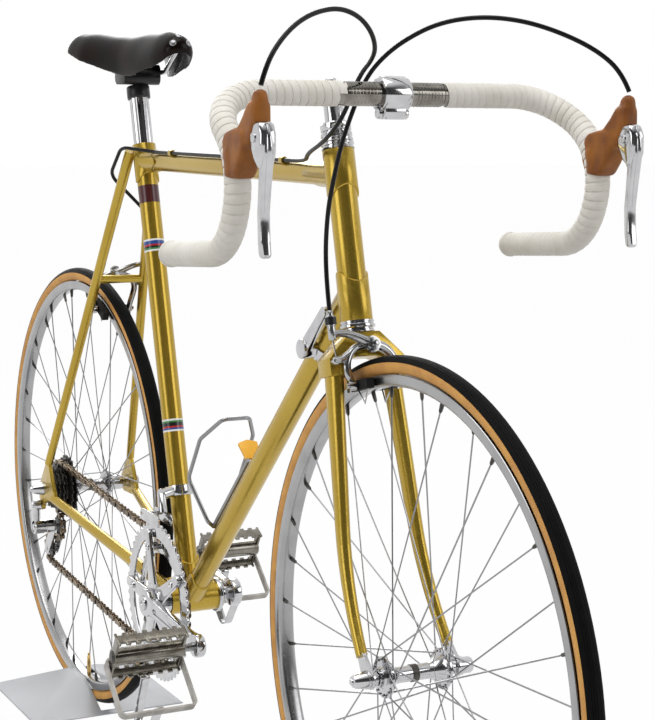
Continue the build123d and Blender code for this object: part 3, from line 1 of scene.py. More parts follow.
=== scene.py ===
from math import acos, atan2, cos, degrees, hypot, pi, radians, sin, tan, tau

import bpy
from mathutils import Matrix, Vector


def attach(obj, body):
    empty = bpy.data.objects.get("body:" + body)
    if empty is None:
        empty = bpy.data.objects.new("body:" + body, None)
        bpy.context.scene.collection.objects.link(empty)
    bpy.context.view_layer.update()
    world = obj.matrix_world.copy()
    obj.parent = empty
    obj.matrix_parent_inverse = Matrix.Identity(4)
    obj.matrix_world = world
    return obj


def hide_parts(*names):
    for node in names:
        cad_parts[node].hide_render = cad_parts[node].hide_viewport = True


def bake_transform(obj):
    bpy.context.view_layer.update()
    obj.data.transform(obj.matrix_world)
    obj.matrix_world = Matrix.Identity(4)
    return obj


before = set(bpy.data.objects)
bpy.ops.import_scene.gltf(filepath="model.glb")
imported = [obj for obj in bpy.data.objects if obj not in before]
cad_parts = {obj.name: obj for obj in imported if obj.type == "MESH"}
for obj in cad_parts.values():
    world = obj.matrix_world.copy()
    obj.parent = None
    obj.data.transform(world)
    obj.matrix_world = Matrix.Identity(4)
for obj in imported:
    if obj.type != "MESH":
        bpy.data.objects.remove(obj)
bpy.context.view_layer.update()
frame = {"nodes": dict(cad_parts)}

# %% [markdown]
# # A road racing bicycle, dressed
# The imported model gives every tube, ring and wire in its place, in metres: X runs
# forward, Y to the rider's left and Z up, with the floor at zero. This lesson keeps the
# solids that already look right, gives them finishes, and models the pieces that need
# more than a solid: tyres, wrapped tape, rubber hoods, the leather saddle, the chain.

MM = 0.001
nodes = frame["nodes"]
print("solids:", len(nodes))

# %% [markdown]
# ## Camera, light and floor
# The photograph looks at the bicycle from ahead and from the drive side, with a long
# lens at about the height of the bars. The place and the turn of the camera were solved
# from wheel outlines and tube axes, so the same numbers are written here. The lamps are
# large and soft, as in a white studio; the room behind the photographer is dark, which
# keeps bright metal from looking like white plastic.

# %% Camera
camera_at = Vector((2.08638, -0.92694, 0.93564))
yaw, pitch, roll = radians(152.59), radians(-8.32), radians(0.86)
focal_pixels, long_side, sensor, far_clip = 1798.33, 720.0, 36.0, 60.0
forward = Vector((cos(yaw) * cos(pitch), sin(yaw) * cos(pitch), sin(pitch)))
level = forward.cross(Vector((0, 0, 1))).normalized()
upright = level.cross(forward)
right = level * cos(roll) + upright * sin(roll)
above = upright * cos(roll) - level * sin(roll)
bpy.ops.object.camera_add()
camera = bpy.context.object
camera.name = "camera"
camera.matrix_world = Matrix.Translation(camera_at) @ Matrix(
    (right, above, -forward)).transposed().to_4x4()
camera.data.sensor_width = sensor
camera.data.lens = focal_pixels * sensor / long_side
camera.data.clip_end = far_clip
bpy.context.scene.camera = camera
bpy.context.scene.view_settings.view_transform = "Standard"
print("lens", round(camera.data.lens, 2), "mm")

# %% Lamps
bike_middle = Vector((0.0, 0.0, 0.5))


def soft_lamp(name, place, size, watts):
    """A square area lamp that looks at the middle of the bicycle."""
    turn = (bike_middle - Vector(place)).to_track_quat("-Z", "Y").to_euler()
    bpy.ops.object.light_add(type="AREA", location=place, rotation=turn)
    lamp = bpy.context.object
    lamp.name = name
    lamp.data.size = size
    lamp.data.energy = watts


soft_lamp("lamp_over", (0.4, -0.6, 3.4), 2.6, 48)
soft_lamp("lamp_drive_side", (0.6, -3.4, 1.6), 1.6, 20)
soft_lamp("lamp_front_left", (2.6, 2.2, 1.8), 1.6, 20)
soft_lamp("lamp_behind", (-3.0, 0.8, 1.9), 1.6, 40)

# %% World: white behind the bicycle and overhead, dark behind the photographer
dark_side = (0.90, -0.42, 0.10)
side_greys = ((0.0, 1.0), (0.42, 0.95), (0.56, 0.62), (0.68, 0.26), (0.80, 0.09), (0.92, 0.05), (1.0, 0.10))
overhead_greys = ((0.62, 0.0), (0.86, 0.95))
room_light = 0.52
world = bpy.data.worlds.new("studio")
bpy.context.scene.world = world
world.use_nodes = True
wn, wl = world.node_tree.nodes, world.node_tree.links
wn.clear()


def grey_ramp(greys):
    """Colour ramp through pairs of place and grey."""
    ramp = wn.new("ShaderNodeValToRGB")
    while len(ramp.color_ramp.elements) < len(greys):
        ramp.color_ramp.elements.new(0.5)
    for element, (spot, grey) in zip(ramp.color_ramp.elements, greys):
        element.position = spot
        element.color = (grey, grey, grey, 1.0)
    return ramp


def sums(nodes, operation, second=None):
    """Math node, with its second value where that is constant."""
    made = nodes.new("ShaderNodeMath")
    made.operation = operation
    if second is not None:
        made.inputs[1].default_value = second
    return made


def seen_rays(tree):
    """Light Path node, and a value of one for rays from the camera or a glossy or clear surface."""
    path = tree.nodes.new("ShaderNodeLightPath")
    straight, through = sums(tree.nodes, "MAXIMUM"), sums(tree.nodes, "MAXIMUM")
    tree.links.new(path.outputs["Is Camera Ray"], straight.inputs[0])
    tree.links.new(path.outputs["Is Glossy Ray"], straight.inputs[1])
    tree.links.new(straight.outputs[0], through.inputs[0])
    tree.links.new(path.outputs["Is Transmission Ray"], through.inputs[1])
    return path, through.outputs[0]


w_coord = wn.new("ShaderNodeTexCoord")
w_split = wn.new("ShaderNodeSeparateXYZ")
w_dot = wn.new("ShaderNodeVectorMath")
w_dot.operation = "DOT_PRODUCT"
w_dot.inputs[1].default_value = dark_side
w_share = sums(wn, "MULTIPLY_ADD", 0.5)
w_share.inputs[2].default_value = 0.5
w_room, w_over = grey_ramp(side_greys), grey_ramp(overhead_greys)
w_both = wn.new("ShaderNodeMixRGB")
w_both.blend_type = "LIGHTEN"
w_both.inputs["Fac"].default_value = 1.0
w_eye = wn.new("ShaderNodeMixRGB")
w_eye.inputs["Color2"].default_value = (1.0, 1.0, 1.0, 1.0)
w_light, w_seen = wn.new("ShaderNodeBackground"), wn.new("ShaderNodeBackground")
w_light.inputs["Color"].default_value = (1.0, 1.0, 1.0, 1.0)
w_light.inputs["Strength"].default_value = room_light
w_seen.inputs["Strength"].default_value = 1.0
w_path, w_rays = seen_rays(world.node_tree)
w_mix, w_out = wn.new("ShaderNodeMixShader"), wn.new("ShaderNodeOutputWorld")
wl.new(w_coord.outputs["Generated"], w_split.inputs[0])
wl.new(w_coord.outputs["Generated"], w_dot.inputs[0])
wl.new(w_dot.outputs["Value"], w_share.inputs[0])
wl.new(w_share.outputs[0], w_room.inputs[0])
wl.new(w_split.outputs["Z"], w_over.inputs[0])
wl.new(w_room.outputs[0], w_both.inputs["Color1"])
wl.new(w_over.outputs[0], w_both.inputs["Color2"])
wl.new(w_path.outputs["Is Camera Ray"], w_eye.inputs["Fac"])
wl.new(w_both.outputs[0], w_eye.inputs["Color1"])
wl.new(w_eye.outputs[0], w_seen.inputs["Color"])
wl.new(w_rays, w_mix.inputs[0])
wl.new(w_light.outputs[0], w_mix.inputs[1])
wl.new(w_seen.outputs[0], w_mix.inputs[2])
wl.new(w_mix.outputs[0], w_out.inputs[0])

# %% Floor: white paper that keeps a trace of shadow
paper_white, seen_white, floor_size = 0.60, 0.98, 40.0
bpy.ops.object.select_all(action="DESELECT")
bpy.ops.mesh.primitive_plane_add(size=floor_size)
floor = bpy.context.object
floor.name = "floor"
floor_paper = bpy.data.materials.new("floor_paper")
floor_paper.use_nodes = True
fn, fl = floor_paper.node_tree.nodes, floor_paper.node_tree.links
fn.clear()
f_rays = seen_rays(floor_paper.node_tree)[1]
f_share = sums(fn, "MULTIPLY", seen_white)
f_paper, f_white = fn.new("ShaderNodeBsdfDiffuse"), fn.new("ShaderNodeEmission")
f_paper.inputs["Color"].default_value = (paper_white, paper_white, paper_white, 1.0)
f_white.inputs["Strength"].default_value = 1.0
f_mix, f_out = fn.new("ShaderNodeMixShader"), fn.new("ShaderNodeOutputMaterial")
fl.new(f_rays, f_share.inputs[0])
fl.new(f_share.outputs[0], f_mix.inputs[0])
fl.new(f_paper.outputs[0], f_mix.inputs[1])
fl.new(f_white.outputs[0], f_mix.inputs[2])
fl.new(f_mix.outputs[0], f_out.inputs[0])
floor.data.materials.append(floor_paper)

# %% [markdown]
# ## Finishes
# Every finish is a small tree of nodes on Object coordinates. A noise drives the
# roughness and a faint bump, so paint shows its flake, metal its polishing marks and
# rubber its skin. Colours that are the same all over go straight on the shader.

# %% A maker of finishes
grain_depth, coat_gloss, patch_from, patch_to = 0.0004, 0.06, 0.38, 0.66


def finish(name, colour, metal=0.0, rough=0.4, coat=0.0, grain=900.0, spread=0.08,
           bump=0.02, tint=None, patch=40.0, sheen=0.5):
    """A shader with grain in its roughness, a faint bump, and slow patches of a second colour."""
    made = bpy.data.materials.new(name)
    made.use_nodes = True
    n, l = made.node_tree.nodes, made.node_tree.links
    shader = n["Principled BSDF"]
    shader.inputs["Base Color"].default_value = (*colour, 1.0)
    shader.inputs["Metallic"].default_value = metal
    shader.inputs["Specular IOR Level"].default_value = sheen
    shader.inputs["Coat Weight"].default_value = coat
    shader.inputs["Coat Roughness"].default_value = coat_gloss
    coord = n.new("ShaderNodeTexCoord")
    fine = n.new("ShaderNodeTexNoise")
    fine.inputs["Scale"].default_value = grain
    fine.inputs["Detail"].default_value = 3.0
    l.new(coord.outputs["Object"], fine.inputs["Vector"])
    span = n.new("ShaderNodeMapRange")
    span.inputs["To Min"].default_value = max(rough - spread, 0.02)
    span.inputs["To Max"].default_value = min(rough + spread, 1.0)
    l.new(fine.outputs["Fac"], span.inputs["Value"])
    l.new(span.outputs[0], shader.inputs["Roughness"])
    lift = n.new("ShaderNodeBump")
    lift.inputs["Strength"].default_value = bump
    lift.inputs["Distance"].default_value = grain_depth
    l.new(fine.outputs["Fac"], lift.inputs["Height"])
    l.new(lift.outputs[0], shader.inputs["Normal"])
    if tint:
        slow = n.new("ShaderNodeTexNoise")
        slow.inputs["Scale"].default_value = patch
        slow.inputs["Detail"].default_value = 4.0
        l.new(coord.outputs["Object"], slow.inputs["Vector"])
        ramp = n.new("ShaderNodeValToRGB")
        ramp.color_ramp.elements[0].position = patch_from
        ramp.color_ramp.elements[0].color = (*colour, 1.0)
        ramp.color_ramp.elements[1].position = patch_to
        ramp.color_ramp.elements[1].color = (*tint, 1.0)
        l.new(slow.outputs["Fac"], ramp.inputs["Fac"])
        l.new(ramp.outputs["Color"], shader.inputs["Base Color"])
    return made


# %% The finishes of this bicycle
gold, flake = (0.45, 0.30, 0.032), 0.80
gold_paint = finish("gold_paint", gold, metal=flake, rough=0.27, coat=0.3, grain=2600,
                    spread=0.06, bump=0.05, tint=(0.50, 0.345, 0.045), patch=9)
chrome = finish("chrome_plate", (0.57, 0.57, 0.58), metal=1.0, rough=0.10, grain=500,
                spread=0.05, bump=0.01, tint=(0.50, 0.50, 0.51), patch=60)
# Sleeve chrome: its dark base colour and darker patches are painted reflection, dark reflections painted into
# the colour rather than wear.
painted_reflection_chrome = finish("painted_reflection_chrome", (0.27, 0.255, 0.23), metal=1.0, rough=0.12, grain=500,
                     spread=0.06, bump=0.02, tint=(0.18, 0.165, 0.145), patch=80)
alloy = finish("polished_alloy", (0.47, 0.47, 0.475), metal=1.0, rough=0.18, grain=700,
               spread=0.07, bump=0.02, tint=(0.40, 0.40, 0.405), patch=45)
rim_alloy = finish("rim_alloy", (0.40, 0.40, 0.405), metal=1.0, rough=0.24, grain=420,
                   spread=0.08, bump=0.02, tint=(0.34, 0.34, 0.345), patch=25)
bright_steel = finish("spoke_steel", (0.30, 0.30, 0.31), metal=1.0, rough=0.28, grain=900,
                      spread=0.08, bump=0.02)
dark_steel = finish("dark_steel", (0.06, 0.058, 0.055), metal=0.85, rough=0.38, grain=800,
                    spread=0.1, bump=0.05, tint=(0.10, 0.09, 0.08), patch=70)
oiled_steel = finish("oiled_chain", (0.27, 0.20, 0.13), metal=0.9, rough=0.30, grain=900,
                     spread=0.12, bump=0.06, tint=(0.06, 0.045, 0.03), patch=120)
black_sleeve = finish("black_housing", (0.004, 0.004, 0.0045), rough=0.30, sheen=0.2, grain=1500,
                      spread=0.06, bump=0.03)
black_clamp = finish("black_clamp", (0.015, 0.015, 0.016), metal=0.3, rough=0.35, grain=900,
                     bump=0.05)
cream_tape = finish("cream_tape", (0.78, 0.755, 0.70), rough=0.62, grain=1400, spread=0.1,
                    bump=0.12, tint=(0.70, 0.67, 0.60), patch=28)
gum = finish("gum_rubber", (0.32, 0.110, 0.014), rough=0.45, sheen=0.3, grain=1100, spread=0.12,
             bump=0.12, tint=(0.19, 0.058, 0.010), patch=45)
pad_rubber = finish("pad_rubber", (0.01, 0.01, 0.01), rough=0.7, sheen=0.25, grain=1100, bump=0.1)
tread = finish("tread_rubber", (0.004, 0.004, 0.0043), rough=0.62, sheen=0.07, grain=1300, spread=0.12,
               bump=0.25, tint=(0.006, 0.0058, 0.0056), patch=60)
sidewall = finish("tan_sidewall", (0.70, 0.36, 0.085), rough=0.6, grain=1600, spread=0.1,
                  bump=0.2, tint=(0.58, 0.28, 0.07), patch=50)
black_leather = finish("saddle_leather", (0.0025, 0.0022, 0.0022), rough=0.22, sheen=0.12, grain=700,
                       spread=0.08, bump=0.08, tint=(0.010, 0.004, 0.002), patch=22)
pale_strap = finish("pale_strap", (0.55, 0.53, 0.49), rough=0.6, grain=900, bump=0.15,
                    tint=(0.38, 0.36, 0.33), patch=60)
amber_tab = finish("amber_tab", (0.86, 0.44, 0.03), rough=0.35, grain=900, bump=0.02)
cage_steel = finish("cage_steel", (0.26, 0.245, 0.215), metal=1.0, rough=0.24, grain=600,
                    spread=0.1, bump=0.04, tint=(0.17, 0.155, 0.13), patch=70)
brass = finish("brass", (0.62, 0.42, 0.16), metal=1.0, rough=0.25, grain=800, bump=0.02)
grey_sheet = finish("grey_sheet", (0.42, 0.43, 0.45), metal=0.1, rough=0.5, grain=500,
                    spread=0.1, bump=0.05, tint=(0.36, 0.37, 0.39), patch=8)

# %% Finishes on the solids that stay
solid_finish = {
    gold_paint: "seat_tube head_tube top_tube down_tube lugs bb_shell rear_stays fork_crown "
                "fork_blades braze_ons rear_dropouts",
    chrome: "headset_races bearing_cups fork_tips saddle_rails",
    alloy: "stem handlebar brake_levers front_brake rear_brake front_hub rear_hub chainrings "
           "crank_right crank_left rear_mech front_mech shift_levers seat_post pedal_right "
           "pedal_left front_skewer rear_skewer",
    rim_alloy: "front_rim rear_rim",
    bright_steel: "front_spokes rear_spokes bottle_cage toe_clip_left toe_clip_right spindles",
    dark_steel: "freewheel jockey_wheels",
    oiled_steel: "chain",
    black_sleeve: "front_brake_housing rear_brake_housing rear_brake_housing_front",
    black_clamp: "saddle_clamp",
    cream_tape: "bar_tape",
    gum: "hoods",
    pad_rubber: "front_brake_pads rear_brake_pads",
    tread: "front_tyre rear_tyre",
    black_leather: "saddle",
    pale_strap: "toe_strap_left toe_strap_right",
    amber_tab: "cage_tab",
    grey_sheet: "stand",
}
for made, names in solid_finish.items():
    for name in names.split():
        nodes[name].data.materials.clear()
        nodes[name].data.materials.append(made)
print("finishes on", sum(len(names.split()) for names in solid_finish.values()), "solids")

# %% [markdown]
# ## Hand tools
# Three ways of making a form come back all through this lesson. A turned piece is an
# outline spun about an axis, as on a lathe. A plate is an outline filled, given its
# thickness and broken at the edges. A bent rod is a curve with a round bevel, turned
# into a mesh. Each piece is made at the origin where that is easier, then set in place,
# and its place is applied so that the object itself stays at the origin.

# %% Starting a piece
weld_distance = 2e-6


def clear():
    """Let go of everything, so that an operator acts only on the new piece."""
    if bpy.context.mode != "OBJECT":
        bpy.ops.object.mode_set(mode="OBJECT")
    bpy.ops.object.select_all(action="DESELECT")


def hold(made):
    """Take one piece in hand, and no other."""
    clear()
    made.select_set(True)
    bpy.context.view_layer.objects.active = made


def seed(name, at):
    """One vertex in edit mode: a small plane merged to its middle and moved to its place."""
    clear()
    bpy.ops.mesh.primitive_plane_add(size=MM)
    bpy.context.object.name = name
    bpy.ops.object.mode_set(mode="EDIT")
    bpy.ops.mesh.merge(type="CENTER")
    bpy.ops.transform.translate(value=at)
    return bpy.context.object


def follow(spots):
    """Draw on from the selected vertex through the other spots."""
    for a, b in zip(spots, spots[1:]):
        bpy.ops.mesh.extrude_region_move(TRANSFORM_OT_translate={"value": b - a})


def tidy_mesh():
    """Weld doubles and turn every face outwards, then leave edit mode."""
    bpy.ops.mesh.select_all(action="SELECT")
    bpy.ops.mesh.remove_doubles(threshold=weld_distance)
    bpy.ops.mesh.normals_make_consistent(inside=False)
    bpy.ops.object.mode_set(mode="OBJECT")


# %% Turning, cutting plates and bending rods


def turned(name, outline, steps=48, close=False):
    """Spin an outline of (radius, side) in millimetres about the Y axis."""
    spots = [Vector((r * MM, y * MM, 0.0)) for r, y in outline]
    if close:
        spots.append(spots[0])
    seed(name, spots[0])
    follow(spots)
    bpy.ops.mesh.select_all(action="SELECT")
    bpy.ops.mesh.spin(steps=steps, angle=tau, center=(0, 0, 0), axis=(0, 1, 0))
    tidy_mesh()
    return bpy.context.object


def plate(name, outline, thick, soften=0.0, rounds=2):
    """Fill an outline of (x, z) in millimetres, give it thickness along Y and break its edges."""
    spots = [Vector((x * MM, -thick * MM / 2, z * MM)) for x, z in outline]
    made = seed(name, spots[0])
    follow(spots)
    bpy.ops.mesh.select_all(action="SELECT")
    bpy.ops.mesh.edge_face_add()
    bpy.ops.mesh.extrude_region_move(TRANSFORM_OT_translate={"value": (0, thick * MM, 0)})
    tidy_mesh()
    if soften:
        bpy.ops.object.modifier_add(type="BEVEL")
        made.modifiers[-1].width = soften * MM
        made.modifiers[-1].segments = rounds
        made.modifiers[-1].limit_method = "ANGLE"
        made.modifiers[-1].angle_limit = radians(50)
        bpy.ops.object.modifier_apply(modifier=made.modifiers[-1].name)
    return made


def rods(name, runs, radius, sides=2, swell=None, smooth=False):
    """Round rods through runs of points in metres; swell gives each point's share of the radius."""
    clear()
    line = bpy.data.curves.new(name, "CURVE")
    line.dimensions = "3D"
    line.bevel_depth = radius * MM
    line.bevel_resolution = sides
    line.use_fill_caps = True
    for run in runs:
        spline = line.splines.new("NURBS" if smooth else "POLY")
        spline.points.add(len(run) - 1)
        for i, spot in enumerate(run):
            spline.points[i].co = (*spot, 1.0)
            spline.points[i].radius = swell[i] if swell else 1.0
        if smooth:
            spline.order_u = 3
            spline.use_endpoint_u = True
            spline.resolution_u = 10
    made = bpy.data.objects.new(name, line)
    bpy.context.collection.objects.link(made)
    hold(made)
    bpy.ops.object.convert(target="MESH")
    made = bpy.context.object
    bpy.ops.object.mode_set(mode="EDIT")
    tidy_mesh()
    return made


# %% Copying, setting in place and handing over


def placed(made, at=(0, 0, 0), turn=None):
    """Turn and move a finished piece, then write its place into its mesh."""
    hold(made)
    made.matrix_world = Matrix.Translation(at) @ (turn or Matrix.Identity(3)).to_4x4()
    bpy.ops.object.transform_apply(location=True, rotation=True, scale=True)
    return made


def copied(made, name, at=(0, 0, 0), turn=None):
    """A copy with its own mesh, set in its own place."""
    hold(made)
    bpy.ops.object.duplicate(linked=False)
    bpy.context.object.name = name
    return placed(bpy.context.object, at, turn)


def joined(name, parts):
    """Join pieces into one, with the given name."""
    clear()
    for part in parts:
        part.select_set(True)
    bpy.context.view_layer.objects.active = parts[0]
    if len(parts) > 1:
        bpy.ops.object.join()
    bpy.context.object.name = name
    return bpy.context.object


def done(made, look, body, slot, *replaced, angle=35):
    """Smooth a piece, give it its finish, and let it ride on its body, if it has one."""
    hold(made)
    if look:
        made.data.materials.clear()
        made.data.materials.append(look)
    bpy.ops.object.shade_smooth_by_angle(angle=radians(angle))
    if body:
        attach(made, body)
    if replaced:
        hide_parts(*replaced)
    print(made.name, len(made.data.polygons), "faces on", body)
    return made


def frame_of(x_axis, y_axis):
    """Turn whose X and Y follow two given directions."""
    x = Vector(x_axis).normalized()
    z = x.cross(Vector(y_axis)).normalized()
    y = z.cross(x)
    return Matrix((x, y, z)).transposed()


# %% [markdown]
# ## Layout
# The same few sizes that set out the solids set out the dressing: axles, bottom bracket,
# head and seat angles. Everything that follows hangs on these points.

# %% Layout points in metres
wheel_radius, half_base, fork_rake = 336.0, 506.24, 39.0
rear_axle = Vector((-half_base, 0.0, wheel_radius)) * MM
front_axle = Vector((half_base, 0.0, wheel_radius)) * MM
bracket = Vector((-90.43, 0.0, 264.0)) * MM
head_angle, seat_angle = radians(74.75), radians(74.0)
steer_up = Vector((-cos(head_angle), 0.0, sin(head_angle)))
steer_fwd = Vector((sin(head_angle), 0.0, cos(head_angle)))
steer_foot = front_axle - steer_fwd * fork_rake * MM
seat_up = Vector((-cos(seat_angle), 0.0, sin(seat_angle)))
seat_fwd = Vector((sin(seat_angle), 0.0, cos(seat_angle)))


def on_steer(along, ahead=0.0, side=0.0):
    """Point on the steering axis, in millimetres from the foot of the rake."""
    return steer_foot + (steer_up * along + steer_fwd * ahead) * MM + Vector((0, side * MM, 0))


def on_seat(along, ahead=0.0, side=0.0):
    """Point on the seat tube, in millimetres from the bottom bracket."""
    return bracket + (seat_up * along + seat_fwd * ahead) * MM + Vector((0, side * MM, 0))


# %% [markdown]
# ## Tyres
# A sewn tubular tyre is nearly round. Its black tread is a strip glued over a tan casing,
# so a small step runs along each edge of the strip, and fine grooves run round its crown.
# Spinning one outline gives the whole ring, and the faces near the rim take the tan.

# %% Tyre section and rings
section, crown = 11.2, 335.95
tyre_middle = crown - section
tread_edge, groove_depth, casing_drop = 66, 0.45, 0.7
section_start, ring_steps = 140, 150
grooves = (10, 22, 34)


def tyre_outline():
    """Half outline from the rim to the crown, mirrored to the other side."""
    turns = [(a, section - casing_drop) for a in range(section_start, tread_edge + 2, -9)]
    turns += [(tread_edge + 2, section - casing_drop), (tread_edge, section - 0.1)]
    for spot in sorted(grooves, reverse=True):
        turns += [(spot + 4.0, section), (spot + 1.6, section), (spot, section - groove_depth),
                  (spot - 1.6, section)]
    turns.append((0.0, section))
    half = [(tyre_middle + r * cos(radians(a)), r * sin(radians(a))) for a, r in turns]
    return half + [(r, -y) for r, y in reversed(half[:-1])]


def make_tyre(name, axle, body, node):
    """Turn a tyre, colour its casing and set it on its wheel."""
    made = turned(name, tyre_outline(), steps=ring_steps)
    made.data.materials.append(tread)
    made.data.materials.append(sidewall)
    for face in made.data.polygons:
        away = hypot(face.center.x, face.center.z) / MM
        lean = degrees(atan2(abs(face.center.y) / MM, away - tyre_middle))
        face.material_index = 1 if lean > tread_edge + 2.5 else 0
    placed(made, axle)
    return done(made, None, body, "tyre", node, angle=50)


make_tyre("front_tyre_ring", front_axle, "front_wheel", "front_tyre")
make_tyre("rear_tyre_ring", rear_axle, "rear_wheel", "rear_tyre")

# %% [markdown]
# ## Rims and spokes
# A tubular rim is a polished box with soft corners and a shallow bed for the tyre. Each
# spoke comes through the hub flange with a round head, turns at its elbow and ends in a
# nipple in the rim. The spokes of one wheel differ only in their angles, so they are
# drawn as a list of short lines and given a round bevel together.

# %% Rims
rim_outline = [(316.0, -9.2), (315.6, -9.8), (314.6, -10.0), (306.5, -10.0), (304.6, -9.3),
               (303.2, -7.8), (302.4, -5.4), (302.05, -2.6), (302.0, 0.0)]
rim_outline += [(r, -y) for r, y in reversed(rim_outline[:-1])]
rim_outline += [(315.3, 7.0), (315.0, 0.0), (315.3, -7.0)]
for name, axle, body, node in (("front_rim_hoop", front_axle, "front_wheel", "front_rim"),
                               ("rear_rim_hoop", rear_axle, "rear_wheel", "rear_rim")):
    hoop = turned(name, rim_outline, steps=ring_steps, close=True)
    placed(hoop, axle)
    done(hoop, rim_alloy, body, "polished_alloy", node)

# %% Spokes with elbows and nipples
spoke_count, cross_turn, hole_radius = 36, radians(60.0), 19.0
rim_end, rim_offset, flange_half = 302.0, 3.0, 1.5
wire_radius, head_radius, nipple_radius = 0.95, 1.7, 2.0


def spoke_lines(right_flange, left_flange, axle):
    """Head, elbow and rim end of every spoke, and the short line of its nipple."""
    wires, nipples = [], []
    for i in range(spoke_count):
        side = -1 if i % 2 == 0 else 1
        lead = 1 if (i // 2) % 2 == 0 else -1
        rim_turn = tau * i / spoke_count
        hub_turn = rim_turn + lead * cross_turn
        flange = right_flange if side < 0 else left_flange
        hole = Vector((hole_radius * cos(hub_turn), 0, hole_radius * sin(hub_turn)))
        out = Vector((0, side * lead, 0))
        mid = hole + Vector((0, side * flange, 0))
        rim = Vector((rim_end * cos(rim_turn), side * rim_offset, rim_end * sin(rim_turn)))
        head = mid - out * (flange_half + 1.0)
        elbow = mid + out * (flange_half + 1.0)
        back = (elbow - rim).normalized()
        wires.append([axle + p * MM for p in (head, elbow, rim)])
        nipples.append([axle + p * MM for p in (rim, rim + back * 3, rim + back * 9, rim + back * 11)])
    return wires, nipples


for name, right_flange, left_flange, axle, body, node in (
        ("front_spoke_set", 35.0, 35.0, front_axle, "front_wheel", "front_spokes"),
        ("rear_spoke_set", 21.0, 34.0, rear_axle, "rear_wheel", "rear_spokes")):
    wires, nipples = spoke_lines(right_flange, left_flange, axle)
    heads = [[a + (a - b).normalized() * 0.6 * MM, a] for a, b, c in wires]
    laced = joined(name, [rods(name, wires, wire_radius, sides=1), rods("heads", heads, head_radius, sides=1)])
    done(laced, bright_steel, body, "steel", node)
    tips = rods(node.split("_")[0] + "_nipples", nipples, nipple_radius, sides=1, swell=(1.25, 1.2, 1.0, 0.6))
    done(tips, dark_steel, body, "dark_steel")

# %% [markdown]
# ## Handlebar tape
# Cotton tape is wound on from the end of the bar to the middle, each turn lying over the
# last, so the grip shows a small step at every turn. The Screw modifier winds a short
# stepped edge into a helix, and the Curve modifier lays the helix along the bent bar.

# %% The bent line of the bar
stem_rise, stem_reach, bar_half, sleeve_end = 636.0, 135.0, 210.0, 58.0
bar_centre = on_steer(stem_rise) + Vector((stem_reach, 0, 0)) * MM
bar_bends = (62.0, 64.0, 64.0)


def bar_corners(side):
    """Corners of one half of the bar, from the end of the sleeve to the bar end."""
    offsets = ((0, sleeve_end, 0), (0, bar_half, 0), (88, bar_half, -68), (58, bar_half, -156),
               (-87, bar_half, -168))
    return [bar_centre + Vector((x, side * y, z)) * MM for x, y, z in offsets]


def rounded(corners, radii, step=5.0):
    """Points along straight runs joined by arcs of the given radii in millimetres."""
    spots = [corners[0]]
    for before, here, after, radius in zip(corners, corners[1:], corners[2:], radii):
        come, go = (before - here).normalized(), (after - here).normalized()
        half = come.angle(go) / 2
        middle = here + (come + go).normalized() * radius * MM / sin(half)
        start = here + come * radius * MM / tan(half) - middle
        turn = pi - 2 * half
        axis = come.cross(go).normalized()
        steps = max(2, round(degrees(turn) / step))
        spots += [middle + Matrix.Rotation(-turn * i / steps, 3, axis) @ start
                  for i in range(steps + 1)]
    return spots + [corners[-1]]


# %% Winding the tape
tape_pitch, tape_turn_steps = 9.0, 30
tape_steps = ((12.2, 0.0), (13.1, 1.0), (13.35, 7.8), (13.15, 8.7), (12.2, 9.0))


def applied(made, kind, **settings):
    """Add a modifier to the piece in hand, set it and apply it."""
    bpy.ops.object.modifier_add(type=kind)
    added = made.modifiers[-1]
    for key, value in settings.items():
        setattr(added, key, value)
    bpy.ops.object.modifier_apply(modifier=added.name)


def wound_tape(side):
    """Helix of tape, laid along one half of the bar."""
    run = rounded(bar_corners(side), bar_bends)
    length = sum((b - a).length for a, b in zip(run, run[1:]))
    spots = [Vector((r, 0.0, z)) * MM for r, z in tape_steps]
    made = seed("tape_half", spots[0])
    follow(spots)
    bpy.ops.object.mode_set(mode="OBJECT")
    applied(made, "SCREW", axis="Z", screw_offset=tape_pitch * MM, steps=tape_turn_steps,
            render_steps=tape_turn_steps,
            iterations=int(length / (tape_pitch * MM)), use_merge_vertices=True)
    line = bpy.data.curves.new("bar_line", "CURVE")
    line.dimensions = "3D"
    spline = line.splines.new("POLY")
    spline.points.add(len(run) - 1)
    for point, spot in zip(spline.points, run):
        point.co = (*spot, 1.0)
    guide = bpy.data.objects.new("bar_line", line)
    bpy.context.collection.objects.link(guide)
    applied(made, "CURVE", object=guide, deform_axis="POS_Z")
    bpy.data.objects.remove(guide)
    bpy.ops.object.mode_set(mode="EDIT")
    tidy_mesh()
    return made


def bar_plug(side):
    """Domed plug that holds the end of the tape in the bar."""
    last = bar_corners(side)
    tail = (last[-1] - last[-2]).normalized()
    made = turned("plug", [(13.4, -1), (14.1, 0), (14.1, 3), (13.0, 6), (9.0, 7.6), (0, 8)], steps=32)
    return placed(made, last[-1], frame_of((0, 1, 0), tail))


tape = joined("tape_wrap", [wound_tape(1), wound_tape(-1), bar_plug(1), bar_plug(-1)])
done(tape, cream_tape, "fork", "tape", "bar_tape", angle=50)

# %% [markdown]
# ## Sleeve, stem and head set
# The middle of the bar is thicker, and its polished sleeve carries a rolled pattern of
# fine rings. The forged stem closes round it with a bolt under the clamp. The head set
# below is a stack of turned rings, so one stepped outline makes it.

